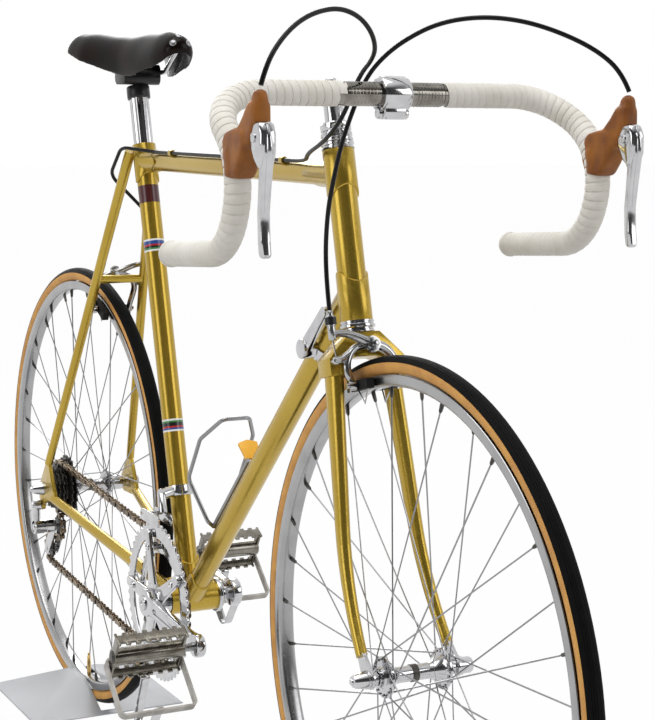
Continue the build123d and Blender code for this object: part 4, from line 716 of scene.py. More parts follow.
# %% Sleeve with rolled rings, on the bar that runs on inside the tape
bar_radius, sleeve_radius, ring_depth = 11.8, 12.7, 0.5
sleeve_rings = [(bar_radius, -sleeve_end - 1), (sleeve_radius - 0.5, -sleeve_end),
                (sleeve_radius, -sleeve_end + 0.6)]
for start in (-54, -50, -46, -42, -38, -34, -30, -26):
    sleeve_rings += [(sleeve_radius, start), (sleeve_radius - ring_depth, start + 0.4),
                     (sleeve_radius - ring_depth, start + 1.8), (sleeve_radius, start + 2.2)]
sleeve_rings += [(sleeve_radius, -20), (sleeve_radius, 0)]
sleeve_rings += [(r, -y) for r, y in reversed(sleeve_rings[:-1])]
sleeve = placed(turned("sleeve", sleeve_rings, steps=64), bar_centre)
bar_runs = [rounded(bar_corners(side), bar_bends) for side in (1, -1)]
bar_halves = rods("bar_halves", bar_runs, bar_radius, sides=6)
# The sleeve takes the chrome whose dark base colour is painted reflection.
done(joined("bar_sleeve", [sleeve, bar_halves]), painted_reflection_chrome, "fork", "polished_alloy", "handlebar")

# %% Stem
stem_top = on_steer(stem_rise)
quill = turned("quill", [(0, -60), (11.1, -60), (11.1, 8), (10.6, 10), (7.5, 12), (7.5, 9), (0, 9)],
               steps=40)
placed(quill, stem_top, frame_of(steer_fwd, steer_up))
expander = turned("expander", [(0, 9), (6.2, 9), (6.2, 16), (5.6, 17), (0, 17)], steps=6)
placed(expander, stem_top, frame_of(steer_fwd, steer_up))
neck = rods("neck", [[stem_top - Vector((8, 0, 0)) * MM, stem_top, stem_top + Vector((30, 0, 0)) * MM,
                      bar_centre - Vector((40, 0, 0)) * MM, bar_centre - Vector((12, 0, 0)) * MM]],
            12.0, sides=8, swell=(0.9, 1.0, 0.95, 0.95, 1.15))
clamp = turned("clamp", [(12.7, -15), (17.5, -16), (18.6, -14), (18.8, -5), (19.0, 0), (18.8, 5),
                         (18.6, 14), (17.5, 16), (12.7, 15)], steps=12)
placed(clamp, bar_centre)
lug_outline = [(-9, -26), (9, -26), (11, -22), (11, -12), (-11, -12), (-11, -22)]
clamp_lug = placed(plate("clamp_lug", lug_outline, 26, soften=2.5), bar_centre)
binder = turned("binder", [(0, -17), (5.2, -17), (5.6, -16), (5.6, -13), (4, -13), (4, 13), (6, 13),
                           (6, 17), (5.5, 18), (0, 18)], steps=24)
placed(binder, bar_centre + Vector((0, 0, -20)) * MM)
stem = joined("quill_stem", [quill, expander, neck, clamp, clamp_lug, binder])
done(stem, chrome, "fork", "polished_alloy", "stem")

# %% Head set, upper stack on the fork and cups on the frame
head_low, head_high = 381.0, 572.0
along_steer = frame_of(steer_fwd, steer_up)
race_rings = [(12.8, 8.4), (17.2, 8.4), (18.0, 9.4), (18.0, 12.0), (16.6, 13.0), (16.6, 14.2),
              (17.6, 15.0), (17.6, 18.4), (15.2, 19.2), (15.2, 20.6), (16.8, 21.0), (17.2, 22.0),
              (17.2, 28.6), (16.2, 30.0), (12.8, 30.0)]
upper_race = placed(turned("upper_race", race_rings, steps=48), on_steer(head_high), along_steer)
low_rings = [(12.8, -13.0), (18.0, -13.0), (18.6, -12.4), (18.6, -10.6), (17.6, -9.6), (17.6, -8.4),
             (12.8, -8.4)]
lower_race = placed(turned("lower_race", low_rings, steps=48), on_steer(head_low), along_steer)
races = joined("head_set_races", [upper_race, lower_race])
done(races, chrome, "fork", "chromed", "headset_races")
cup_up = [(16.0, 0.2), (18.4, 0.2), (18.4, 2.2), (17.2, 3.2), (17.2, 4.2), (18.4, 5.2), (18.4, 7.6),
          (17.6, 8.0), (13.2, 8.0)]
cup_down = [(13.2, -8.0), (18.8, -8.0), (19.8, -7.0), (19.8, -4.6), (18.2, -3.6), (18.2, -2.6),
            (19.0, -1.8), (19.0, -0.2), (16.0, -0.2)]
upper_cup = placed(turned("upper_cup", cup_up, steps=48), on_steer(head_high), along_steer)
lower_cup = placed(turned("lower_cup", cup_down, steps=48), on_steer(head_low), along_steer)

# %% [markdown]
# The bottom bracket's adjustable cup shows on the left as a stack of turned ribs with a
# notched ring behind it. It belongs with the head cups: all are pressed or screwed into
# the frame.

# %% Bottom bracket cups
rib_start, rib_end, rib_pitch = 39.0, 44.0, 2.5
cup_ribs = [(9.0, 33.5), (22.6, 33.5), (23.0, 34.2), (23.0, 38.2), (22.4, 39.0), (18.0, 39.0)]
for i in range(2):
    low = rib_start + rib_pitch * i
    cup_ribs += [(18.0, low + 0.3), (18.0, low + 1.6), (16.8, low + 2.0), (16.8, low + 2.4)]
cup_ribs += [(16.0, rib_end), (9.0, rib_end)]
left_cup = placed(turned("left_cup", cup_ribs, steps=48), bracket)
right_cup = turned("right_cup", [(9.0, -33.5), (19.6, -33.5), (19.6, -34.0), (9.0, -34.0)], steps=48)
placed(right_cup, bracket)
cups = joined("bearing_cup_rings", [upper_cup, lower_cup, left_cup, right_cup])
done(cups, chrome, "frame", "chromed", "bearing_cups")

# %% [markdown]
# ## Hoods and levers
# A gum rubber hood is moulded over the lever's bracket: a broad foot wraps the bar and a
# narrower horn rises to where the housing leaves. Foot, horn and collar are joined and
# remeshed into one skin, and smoothing melts their corners as moulding does.

# %% Gum hoods
foot_outline = [(68, -82), (61, -68), (57, -54), (68, -38), (90, -33), (112, -35), (114, -50),
                (104, -68), (93, -82)]
horn_outline = [(88, -36), (104, -21), (114, -9), (131, -7), (132, -30), (117, -52), (96, -54)]
tip_outline = [(110, -16), (119, 3), (131, 3), (133, -6), (132, -20)]
collar_offsets, collar_radius = ((79, -81), (79.5, -74), (78, -64), (74, -56)), 14.4
skin_voxel, skin_passes = 1.5, 14


def hood(side):
    """One moulded hood, its foot round the bar and its horn rising ahead of it."""
    at = bar_centre + Vector((0, side * bar_half, 0)) * MM
    shapes = ((foot_outline, 25), (horn_outline, 20), (tip_outline, 13))
    parts = [placed(plate("hood_part", outline, thick, soften=5, rounds=3), at) for outline, thick in shapes]
    collar_line = [at + Vector((x, 0, z)) * MM for x, z in collar_offsets]
    parts.append(rods("hood_collar", [collar_line], collar_radius, sides=8))
    made = joined("hood", parts)
    applied(made, "REMESH", mode="VOXEL", voxel_size=skin_voxel * MM)
    applied(made, "SMOOTH", factor=0.5, iterations=skin_passes)
    return made


hood_pair = joined("hood_pair", [hood(1), hood(-1)])
done(hood_pair, gum, "fork", "gum", "hoods", angle=70)

# %% Brake levers: a broad shoulder on the pivot, a ridged blade and a flared tip
blade_outline = [(134, -26), (141, -29), (146, -40), (147, -58), (142, -92), (139.5, -112), (141.5, -136),
                 (144, -150), (141.5, -154), (135.5, -153), (132.5, -140), (130.5, -112), (132, -90),
                 (133, -72), (124, -60), (119, -44)]
shoulder_outline = [(117, -34), (126, -26), (140, -27), (145.5, -38), (146, -56), (139, -73), (127, -64),
                    (118, -50)]
ridge_line = [(140, -30), (145.4, -40), (146.6, -56), (144, -76), (141, -96), (139.4, -112)]
pivot_spot = (129, -42)


def lever(side):
    """One lever: shoulder, forged blade, its ridge and the pivot that shows at both cheeks."""
    at = bar_centre + Vector((0, side * bar_half, 0)) * MM
    blade = placed(plate("lever_blade", blade_outline, 10.6, soften=2.6, rounds=3), at)
    shoulder = placed(plate("lever_shoulder", shoulder_outline, 17.0, soften=4.5, rounds=3), at)
    ridge = rods("lever_ridge", [[at + Vector((x, 0, z)) * MM for x, z in ridge_line]], 3.0, sides=4,
                 swell=(0.6, 1.0, 1.0, 1.0, 0.8, 0.3), smooth=True)
    pivot = turned("lever_pivot", [(0, -10.4), (3.6, -10.4), (4.6, -9.8), (4.6, 9.8), (3.6, 10.4), (0, 10.4)],
                   steps=24)
    placed(pivot, at + Vector((pivot_spot[0], 0, pivot_spot[1])) * MM)
    return joined("lever", [blade, shoulder, ridge, pivot])


lever_pair = joined("lever_pair", [lever(1), lever(-1)])
done(lever_pair, chrome, "fork", "polished_alloy", "brake_levers", angle=40)
# %% [markdown]
# ## Brake housings
# The housings are springy tubes that leave the hoods, arch over the bar and come down to
# the brakes. A few listed points steer a smooth NURBS line, and the tube follows
# points read from that line. The one to the rear brake joins the turning bar to the
# frame, and it is made as one fixed piece that rides on neither.

# %% Smooth lines through the listed routes
housing_radius = 2.5
tube_head, tube_seat = on_steer(544.0), on_seat(604.0)
tube_run = (tube_head - tube_seat).normalized()
first_clip = tube_head - tube_run * 110.0 * MM + Vector((0, -9.0, 13.2)) * MM
front_stop = on_steer(390.5, 26.75, -46.0)
front_route = (
    (126, 210, 6.1), (120, 204, 26), (105, 183, 48), (85, 150, 66), (64, 114, 78), (40, 78, 81),
    (15, 45, 74), (-9, 20, 57), (-24, 1, 38), (-34, -13, 16), (-38, -24, -14), (-42, -35, -48),
    (-46, -42, -85), (-52, -47, -128),
)
rear_route = (
    (126, -210, 6.1), (125, -204, 25), (120, -190, 45), (109, -168, 63), (95, -140, 76), (83, -108, 82),
    (72, -80, 76), (59, -58, 62), (42, -43, 46), (19, -35, 34), (-8, -31, 23), (-28, -31, 3),
    (-39, -34, -19), (-58, -36, -37), (-91, -34, -53), (-146, -24, -66),
)


def smooth_line(name, route):
    """Points read from a NURBS line that the route's points steer."""
    line = bpy.data.curves.new(name, "CURVE")
    line.dimensions = "3D"
    line.resolution_u = 10
    spline = line.splines.new("NURBS")
    spline.points.add(len(route) - 1)
    for point, spot in zip(spline.points, route):
        point.co = (*spot, 1.0)
    spline.order_u = 3
    spline.use_endpoint_u = True
    holder = bpy.data.objects.new(name, line)
    drawn = bpy.data.meshes.new_from_object(holder)
    spots = [vertex.co.copy() for vertex in drawn.vertices]
    bpy.data.objects.remove(holder)
    return spots


def housing(name, route):
    """Tube along a smooth line, with the line's points and length."""
    spots = smooth_line(name, route)
    length = sum((b - a).length for a, b in zip(spots, spots[1:]))
    made = rods(name, [spots], housing_radius, sides=4)
    print(name, round(length, 3), "m")
    return made, spots, length


# %% The front brake's housing, all of it on the turning fork
front_points = [bar_centre + Vector(spot) * MM for spot in front_route]
front_points += [front_stop + steer_up * 45.0 * MM, front_stop]
front_housing, front_spots, front_length = housing("front_housing", front_points)
done(front_housing, black_sleeve, "fork", "black_plastic", "front_brake_housing")

# %% The rear brake's housing, from the bar to the frame, on neither body
rear_points = [bar_centre + Vector(spot) * MM for spot in rear_route]
rear_points += [first_clip + tube_run * 42.0 * MM, first_clip]
rear_housing, rear_spots, rear_length = housing("rear_housing_arch", rear_points)
done(rear_housing, black_sleeve, None, "black_plastic", "rear_brake_housing_front")
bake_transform(rear_housing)
# %% [markdown]
# ## Saddle, clamp and seat post
# Thick leather is stretched over a steel frame and riveted at nose and cantle, so its
# surface has no straight line in it. The lofted solid already has its stations; a copy
# is remeshed into an even skin and smoothed until the flats between stations melt.

# %% Leather
saddle_at = on_seat(722.0)
rail_level = saddle_at.z + 8.0 * MM
leather_voxel, leather_passes = 1.7, 180


def copy_of(node, name):
    """Welded copy of a solid, to be worked on as a piece of its own."""
    hold(nodes[node])
    bpy.ops.object.duplicate(linked=False)
    made = bpy.context.object
    made.name = name
    made.parent = None
    bpy.ops.object.transform_apply(location=True, rotation=True, scale=True)
    bpy.ops.object.mode_set(mode="EDIT")
    tidy_mesh()
    return made


leather = copy_of("saddle", "saddle_top")
applied(leather, "REMESH", mode="VOXEL", voxel_size=leather_voxel * MM)
applied(leather, "SMOOTH", factor=0.5, iterations=leather_passes)
done(leather, black_leather, "frame", "leather", "saddle", angle=80)

# %% Rivets at the cantle and the nose
rivet = turned("rivet", [(0, 1.6), (2.2, 1.4), (4.0, 0.7), (4.6, 0.0), (4.6, -1.0), (0, -1.0)], steps=24)
rivet_spots = ((-100, 52, 45), (-106, 28, 46), (-108, 0, 46), (-106, -28, 46), (-100, -52, 45),
               (153, 0, 49), (156, 10, 36), (156, -10, 36))
rivets = []
for x, y, z in rivet_spots:
    spot = Vector((saddle_at.x + x * MM, y * MM, rail_level + z * MM))
    where, out = leather.closest_point_on_mesh(spot)[1:3]
    rivets.append(copied(rivet, "rivet_set", where, frame_of(out.orthogonal(), out)))
clear()
bpy.data.objects.remove(rivet)
done(joined("saddle_rivets", rivets), bright_steel, "frame", "chromed")

# %% [markdown]
# The post is a tube with shallow flutes down its length, so its outline is a circle with
# a wave on it, filled and drawn out along the seat tube's axis. The clamp's black collar
# closes round its top.

# %% Fluted post and its collar
post_radius, flutes, flute_depth = 13.5, 10, 0.9
post_low, post_high, collar_low, collar_high = 558.0, 708.0, 692.0, 709.0
along_seat, wave_steps = frame_of(seat_fwd, seat_up), 120
post_outline = []
for i in range(wave_steps):
    turn = tau * i / wave_steps
    wave = post_radius - flute_depth * (0.5 - 0.5 * cos(flutes * turn))
    post_outline.append((wave * cos(turn), wave * sin(turn)))
fluted = plate("fluted_post", post_outline, post_high - post_low)
placed(fluted, on_seat((post_low + post_high) / 2), along_seat)
done(fluted, chrome, "frame", "polished_alloy", "seat_post", angle=50)
collar = turned("post_collar", [(post_radius + 0.1, collar_low), (15.4, collar_low), (16.0, collar_low + 1),
                                (16.0, collar_high - 1), (15.4, collar_high), (post_radius + 0.1, collar_high)],
                steps=48)
done(placed(collar, on_seat(0.0), along_seat), black_clamp, "frame", "black_plastic")
# %% [markdown]
# ## Edges that catch the light
# A solid's edges are perfectly sharp, and real forged or pressed parts never are. A
# welded copy of a solid has its flat triangles dissolved back into whole faces, and a
# small bevel breaks the edges, so that each one shows a thin line of light.

# %% Copies of solids with broken edges


def eased(node, width, look, body, slot, rounds=2, sharp=38.0, height=1.0):
    """Copy of a solid with its sharp edges broken, ready to stand for it."""
    made = copy_of(node, node + "_eased")
    made.scale.z = height
    bpy.ops.object.transform_apply(scale=True)
    bpy.ops.object.mode_set(mode="EDIT")
    bpy.ops.mesh.select_all(action="SELECT")
    bpy.ops.mesh.dissolve_limited(angle_limit=radians(1.0))
    bpy.ops.object.mode_set(mode="OBJECT")
    applied(made, "BEVEL", width=width * MM, segments=rounds, limit_method="ANGLE",
            angle_limit=radians(sharp), use_clamp_overlap=True)
    return done(made, look, body, slot, node, angle=sharp)


eased("chainrings", 0.5, chrome, "crankset", "polished_alloy", rounds=1)
eased("pedal_right", 0.35, cage_steel, "right_pedal", "polished_alloy")
eased("pedal_left", 0.35, cage_steel, "left_pedal", "polished_alloy")
eased("toe_clip_right", 0.4, chrome, "right_pedal", "steel")
eased("toe_clip_left", 0.4, chrome, "left_pedal", "steel")
eased("front_mech", 0.6, chrome, "frame", "polished_alloy")
eased("shift_levers", 1.4, chrome, "frame", "polished_alloy")
eased("saddle_clamp", 1.2, black_clamp, "frame", "black_plastic")
eased("cage_tab", 0.6, amber_tab, "frame", "tab")
eased("stand", 0.5, grey_sheet, "frame", "grey_paint", height=0.5)
eased("lugs", 0.5, gold_paint, "frame", "paint")
eased("rear_dropouts", 0.7, gold_paint, "frame", "chromed")
eased("fork_tips", 0.7, chrome, "fork", "chromed")
eased("fork_crown", 0.8, gold_paint, "fork", "paint")
# %% [markdown]
# ## Bands on the seat tube
# The seat tube carries a plain maroon band and two sets of thin stripes, the lower set in
# reverse order. Each point's height along the tube comes from a dot product with the
# tube's axis, and a stepped colour ramp turns that height into a band. The ramp's alpha
# tells paint from band, so the bands stay flat colour without the metal flake.

# %% Stripes by height along the tube
tube_height = 626.0
maroon, white, blue = (0.07, 0.008, 0.01), (0.80, 0.80, 0.78), (0.02, 0.07, 0.30)
red, black, green = (0.45, 0.02, 0.02), (0.01, 0.01, 0.01), (0.04, 0.22, 0.06)
stripes = (white, green, black, red, blue, white)
stripe_height = 3.0
bands = [(541.0, 565.0, maroon)]
for low, colours in ((472.0, stripes), (223.0, tuple(reversed(stripes)))):
    bands += [(low + i * stripe_height, low + (i + 1) * stripe_height, colour)
              for i, colour in enumerate(colours)]
bands.sort()
banded_paint = finish("banded_paint", gold, metal=flake, rough=0.27, coat=0.3, grain=2600, spread=0.06,
                      bump=0.05)
bn, bl = banded_paint.node_tree.nodes, banded_paint.node_tree.links
b_shader = bn["Principled BSDF"]
b_coord, b_dot = bn.new("ShaderNodeTexCoord"), bn.new("ShaderNodeVectorMath")
b_dot.operation = "DOT_PRODUCT"
b_dot.inputs[1].default_value = seat_up
b_share = sums(bn, "MULTIPLY_ADD", 1.0 / (tube_height * MM))
b_share.inputs[2].default_value = -bracket.dot(seat_up) / (tube_height * MM)
b_ramp = bn.new("ShaderNodeValToRGB")
b_ramp.color_ramp.interpolation = "CONSTANT"
steps = [(0.0, (*gold, 0.0))]
for low, high, colour in bands:
    steps += [(low / tube_height, (*colour, 1.0)), (high / tube_height, (*gold, 0.0))]
steps = [step for i, step in enumerate(steps) if i + 1 == len(steps) or steps[i + 1][0] > step[0]]
while len(b_ramp.color_ramp.elements) < len(steps):
    b_ramp.color_ramp.elements.new(1.0)
for element, (spot, colour) in zip(b_ramp.color_ramp.elements, steps):
    element.position = spot
    element.color = colour
b_flake = sums(bn, "MULTIPLY_ADD", -flake)
b_flake.inputs[2].default_value = flake
bl.new(b_coord.outputs["Object"], b_dot.inputs[0])
bl.new(b_dot.outputs["Value"], b_share.inputs[0])
bl.new(b_share.outputs[0], b_ramp.inputs["Fac"])
bl.new(b_ramp.outputs["Color"], b_shader.inputs["Base Color"])
bl.new(b_ramp.outputs["Alpha"], b_flake.inputs[0])
bl.new(b_flake.outputs[0], b_shader.inputs["Metallic"])
nodes["seat_tube"].data.materials.clear()
nodes["seat_tube"].data.materials.append(banded_paint)
print("bands", len(bands), "ramp stops", len(steps))
# %% [markdown]
# ## Chain
# A roller chain has two kinds of link. An outer link is a pair of plates held by pins, an
# inner link a pair of plates round two rollers. One of each is modelled, and copies are
# laid along the loop: from sprocket to chainring and back through the two jockeys.

# %% The loop that the pins lie on
chain_pitch, chain_side = 12.7, -41.0
jockey_teeth, sprocket_teeth, ring_teeth = 10, 19, 42


def pitch_radius(teeth):
    """Radius of the circle of chain pins on a toothed wheel."""
    return chain_pitch / (2 * sin(pi / teeth))


rear_x, rear_z = rear_axle.x / MM, rear_axle.z / MM
circles = [
    (rear_x, rear_z, pitch_radius(sprocket_teeth), -1),
    (bracket.x / MM, bracket.z / MM, pitch_radius(ring_teeth), -1),
    (rear_x - 44.0, rear_z - 106.0, pitch_radius(jockey_teeth), -1),
    (rear_x - 10.0, rear_z - 62.0, pitch_radius(jockey_teeth), 1),
]


def tangent(first, second):
    """Straight run from one circle to the next; the last value of each is its sense of turning."""
    (ax, az, ar, at), (bx, bz, br, bt) = first, second
    normal = atan2(bz - az, bx - ax) - acos((at * ar - bt * br) / hypot(bx - ax, bz - az))
    return ((ax + at * ar * cos(normal), az + at * ar * sin(normal)),
            (bx + bt * br * cos(normal), bz + bt * br * sin(normal)))


straights = [tangent(circles[i], circles[(i + 1) % 4]) for i in range(4)]
trail = []
for i, (start, end) in enumerate(straights):
    cx, cz, cr, sense = circles[(i + 1) % 4]
    leave = straights[(i + 1) % 4][0]
    first = atan2(end[1] - cz, end[0] - cx)
    sweep = (sense * (atan2(leave[1] - cz, leave[0] - cx) - first)) % tau
    trail.append((hypot(end[0] - start[0], end[1] - start[1]), "line", start, end))
    trail.append((cr * sweep, "arc", (cx, cz, cr), (first, sense * sweep)))
chain_length = sum(piece[0] for piece in trail)
link_count = 2 * round(chain_length / chain_pitch / 2)


def on_chain(distance):
    """Point of the loop at a distance from its start."""
    for length, kind, a, b in trail:
        if distance <= length:
            share = distance / length
            if kind == "line":
                return a[0] + (b[0] - a[0]) * share, a[1] + (b[1] - a[1]) * share
            turn = b[0] + b[1] * share
            return a[0] + a[2] * cos(turn), a[1] + a[2] * sin(turn)
        distance -= length
    return trail[0][2]


# %% One outer and one inner link
plate_half = 4.1


def link_outline():
    """Outline of a link plate: two round ends and the waist between them."""
    left = [(plate_half * cos(radians(a)), plate_half * sin(radians(a))) for a in range(45, 316, 30)]
    return left + [(chain_pitch - x, -z) for x, z in left]


def link(name, side, thick, core, core_half):
    """Two plates, with pins or rollers through their ends."""
    near = plate("near", link_outline(), thick, soften=0.25, rounds=1)
    placed(near, (0, -side * MM, 0))
    far = copied(near, "far", (0, 2 * side * MM, 0))
    ends = [[Vector((x, -core_half, 0)) * MM, Vector((x, core_half, 0)) * MM] for x in (0.0, chain_pitch)]
    return joined(name, [near, far, rods("ends", ends, core, sides=2)])


outer_link = link("outer_link", 3.55, 1.1, 1.9, 4.2)
inner_link = link("inner_link", 2.2, 1.0, 3.9, 1.7)
pins = [Vector((x, chain_side, z)) * MM
        for x, z in (on_chain(chain_length * i / link_count) for i in range(link_count))]
laid = []
for i, pin in enumerate(pins):
    run = pins[(i + 1) % link_count] - pin
    model = outer_link if i % 2 == 0 else inner_link
    laid.append(copied(model, "link", pin, frame_of(run, (0, 1, 0))))
bpy.data.objects.remove(outer_link)
bpy.data.objects.remove(inner_link)
done(joined("chain_links", laid), oiled_steel, "frame", "chain_steel", "chain")

# %% [markdown]
# ## Hubs and quick-release skewers
# A small-flange hub is turned from the bar: two thin flanges, a waisted barrel and a ring
# at each end over the bearings. The skewer clamps it with a conical nut on the drive side
# and a cam lever on the other.

# %% Hubs
flange_out, flange_step = 22.0, 1.5


def hub_outline(right, left, right_end, left_end, carrier):
    """Outline from the drive side to the other, as (radius, side) pairs."""
    outline = [(5.2, -right_end), (9.4, -right_end), (9.9, -right_end + 0.6)]
    if carrier:
        outline += [(9.9, -right - carrier), (15.0, -right - carrier), (15.0, -right - 2.4)]
    else:
        outline += [(9.9, -right - 4.5), (11.5, -right - 2.6)]
    outline += [(20.5, -right - flange_step), (flange_out, -right - 1.0), (flange_out, -right + 1.0),
                (20.5, -right + flange_step), (18.4, -right + 2.4), (15.0, -right + 5.6), (11.2, -right + 9.6),
                (9.0, -right + 14.0), (8.6, -right + 19.0), (8.6, left - 19.0), (9.0, left - 14.0),
                (11.2, left - 9.6), (15.0, left - 5.6), (18.4, left - 2.4),
                (20.5, left - flange_step), (flange_out, left - 1.0), (flange_out, left + 1.0),
                (20.5, left + flange_step), (14.0, left + 2.6), (11.5, left + 4.5),
                (11.5, left_end - 0.6), (10.8, left_end), (5.2, left_end)]
    return outline


front_shell = turned("front_hub_shell", hub_outline(35.0, 35.0, 44.0, 44.0, 0.0), steps=64)
done(placed(front_shell, front_axle), chrome, "front_wheel", "polished_alloy", "front_hub")
rear_shell = turned("rear_hub_shell", hub_outline(21.0, 34.0, 57.0, 57.0, 28.0), steps=64)
done(placed(rear_shell, rear_axle), chrome, "rear_wheel", "polished_alloy", "rear_hub")

# %% Oil-hole clips round the middle of the hubs
for axle, middle, body in ((front_axle, 0.0, "front_wheel"), (rear_axle, 6.5, "rear_wheel")):
    clip_outline = [(8.5, middle - 4), (9.4, middle - 3.6), (9.4, middle + 3.6), (8.5, middle + 4)]
    clip = turned(body + "_clip", clip_outline, steps=32, close=True)
    done(placed(clip, axle), dark_steel, body, "dark_steel")

# %% Skewers
cam_outline = [(6, -5), (6, 5), (-8, 5.5), (-24, 4.4), (-40, 5.6), (-47, 4.6), (-50, 0), (-47, -4.6),
               (-40, -5.6), (-24, -4.4), (-8, -5.5)]


def skewer(name, axle, half, grip, body, node):
    """Axle, locknuts, conical nut and cam lever of one wheel."""
    outer = half + grip
    core = turned("core", [(0, -outer - 20), (3.0, -outer - 20), (3.4, -outer - 18), (6.0, -outer - 17.4),
                           (7.2, -outer - 15), (9.6, -outer - 3), (10.0, -outer - 0.6), (10.0, -outer),
                           (5.0, -outer), (5.0, -half), (8.0, -half), (8.0, -half + 4.6), (5.0, -half + 4.8),
                           (5.0, half - 4.8), (8.0, half - 4.6), (8.0, half), (5.0, half), (5.0, outer),
                           (10.0, outer), (10.0, outer + 4), (9.0, outer + 5), (9.0, outer + 14),
                           (8.0, outer + 16), (0, outer + 16)], steps=40)
    arm = plate("arm", cam_outline, 5.0, soften=1.6, rounds=2)
    placed(arm, (0, (outer + 12.5) * MM, 0))
    made = joined(name, [core, arm])
    return done(placed(made, axle), chrome, body, "polished_alloy", node)


skewer("front_quick_release", front_axle, 50.0, 4.5, "fork", "front_skewer")
skewer("rear_quick_release", rear_axle, 63.0, 6.0, "frame", "rear_skewer")
# %% [markdown]
# ## Cranks
# A forged crank is waisted between its boss and its pedal eye, and a flute is milled down
# its outer face. The outline is two arcs joined by slim sides; a Boolean modifier mills
# the flute. The right crank also carries the five-armed spider for the chainrings.

# %% One arm with its flute
crank_reach, crank_low, crank_thick, crank_lean = 170.0, 56.0, 13.0, -4.0
boss_out, eye_out, waist = 19.0, 14.5, 9.6


def round_end(middle, radius, first, last):
    """Arc about a point on the arm's line, with a point every 20 degrees."""
    turns = [radians(a) for a in range(first, last + 1, 20)]
    return [(middle + radius * cos(t), radius * sin(t)) for t in turns]


arm_outline = round_end(0, boss_out, 40, 320)
arm_outline += [(30, -waist - 1.4), (90, -waist), (146, -waist - 0.6)]
arm_outline += round_end(crank_reach, eye_out, -120, 120)
arm_outline += [(146, waist + 0.6), (90, waist), (30, waist + 1.4)]
flute_outline = [(36, -3.6), (32, 0), (36, 3.6), (142, 3.0), (145, 0), (142, -3.0)]


def cut(made, cutter):
    """Take one piece out of another."""
    hold(made)
    applied(made, "BOOLEAN", object=cutter, operation="DIFFERENCE")
    bpy.data.objects.remove(cutter)
    return made


def crank(side):
    """Arm on one side, with its flute on the outer face; the left arm points the other way."""
    along = Vector((cos(radians(crank_lean)), 0, sin(radians(crank_lean)))) * -side
    turn = frame_of(along, (0, 1, 0))
    arm = plate("arm", arm_outline, crank_thick, soften=3.0, rounds=3)
    placed(arm, bracket + Vector((0, side * (crank_low + crank_thick / 2), 0)) * MM, turn)
    cutter = plate("flute", flute_outline, 6.0, soften=1.2)
    placed(cutter, bracket + Vector((0, side * (crank_low + crank_thick + 0.6), 0)) * MM, turn)
    return cut(arm, cutter)


# %% Spider of the right crank, and the two cranks
spider_arms, spider_low, spider_thick, arm_end = 5, 49.5, 6.0, 90.0
spoke_outline = [(8, -13), (26, -11), (60, -8.2)]
spoke_outline += round_end(arm_end, 7.4, -80, 80)
spoke_outline += [(60, 8.2), (26, 11), (8, 13)]
spider_arm = plate("spider_arm", spoke_outline, spider_thick, soften=1.6, rounds=2)
right_parts = [crank(-1)]
arm_leans = [radians(crank_lean + (i + 0.5) * 360 / spider_arms) for i in range(spider_arms)]
for lean in arm_leans:
    right_parts.append(copied(spider_arm, "spider_set",
                              bracket + Vector((0, -spider_low - spider_thick / 2, 0)) * MM,
                              frame_of((cos(lean), 0, sin(lean)), (0, 1, 0))))
bpy.data.objects.remove(spider_arm)
disc_outline = [(9, -49.5), (25, -49.5), (26, -50.4), (26, -54.4), (24, -56.4), (9, -56.4)]
hub_disc = turned("hub_disc", disc_outline, steps=48)
right_parts.append(placed(hub_disc, bracket))
done(joined("right_crank", right_parts), chrome, "crankset", "polished_alloy", "crank_right")
left_arm = crank(1)
left_arm.name = "left_crank"
done(left_arm, chrome, "crankset", "polished_alloy", "crank_left")

# %% [markdown]
# ## Rear mech
# The mech hangs from the dropout on a barrel, and a parallelogram of two links carries
# the lower barrel, on which the cage with its two jockeys turns.

# %% Links, barrels and cage


def hull_outline(a, radius_a, b, radius_b, steps=8):
    """Outline of two circles in millimetres and the belt round them."""
    run = Vector((b[0] - a[0], b[1] - a[1]))
    base = atan2(run.y, run.x)
    lean = acos((radius_a - radius_b) / run.length)
    sweep_a = [base + lean + (tau - 2 * lean) * i / steps for i in range(steps + 1)]
    sweep_b = [base - lean + 2 * lean * i / steps for i in range(steps + 1)]
    return ([(a[0] + radius_a * cos(t), a[1] + radius_a * sin(t)) for t in sweep_a]
            + [(b[0] + radius_b * cos(t), b[1] + radius_b * sin(t)) for t in sweep_b])


hanger, guide, tension, link_foot = (-12.0, -28.0), (-10.0, -62.0), (-44.0, -106.0), (-16.0, -62.0)


def beside_axle(spot, side=0.0):
    """Point by the rear axle: ahead and up from it, and to the side."""
    return rear_axle + Vector((spot[0], side, spot[1])) * MM


mech_parts = []
for side, thick, inset in ((-79.0, 4.0, 0.0), (-72.8, 2.6, 1.5)):
    belt = hull_outline(hanger, 8.6 - inset, link_foot, 10.0 - inset)
    mech_parts.append(placed(plate("mech_link", belt, thick, soften=1.1), beside_axle((0, 0), side)))
for side in (-48.6, -33.4):
    cheek = plate("cage_cheek", hull_outline(guide, 9.6, tension, 9.6), 2.0, soften=0.6, rounds=1)
    mech_parts.append(placed(cheek, beside_axle((0, 0), side)))
upper_outline = [(0, -83), (4.0, -83), (4.4, -81.6), (7.4, -81.6), (8.8, -80.4), (8.8, -71), (7.6, -69.6),
                 (0, -69.6)]
lower_outline = [(0, -82), (5.0, -82), (5.6, -81), (9.6, -81), (10.6, -80), (10.6, -66), (9.6, -65.2),
                 (9.6, -62.4), (10.6, -61.6), (10.6, -51), (0, -51)]
for barrel_outline, spot in ((upper_outline, hanger), (lower_outline, guide)):
    mech_parts.append(placed(turned("barrel", barrel_outline, steps=32), beside_axle(spot)))
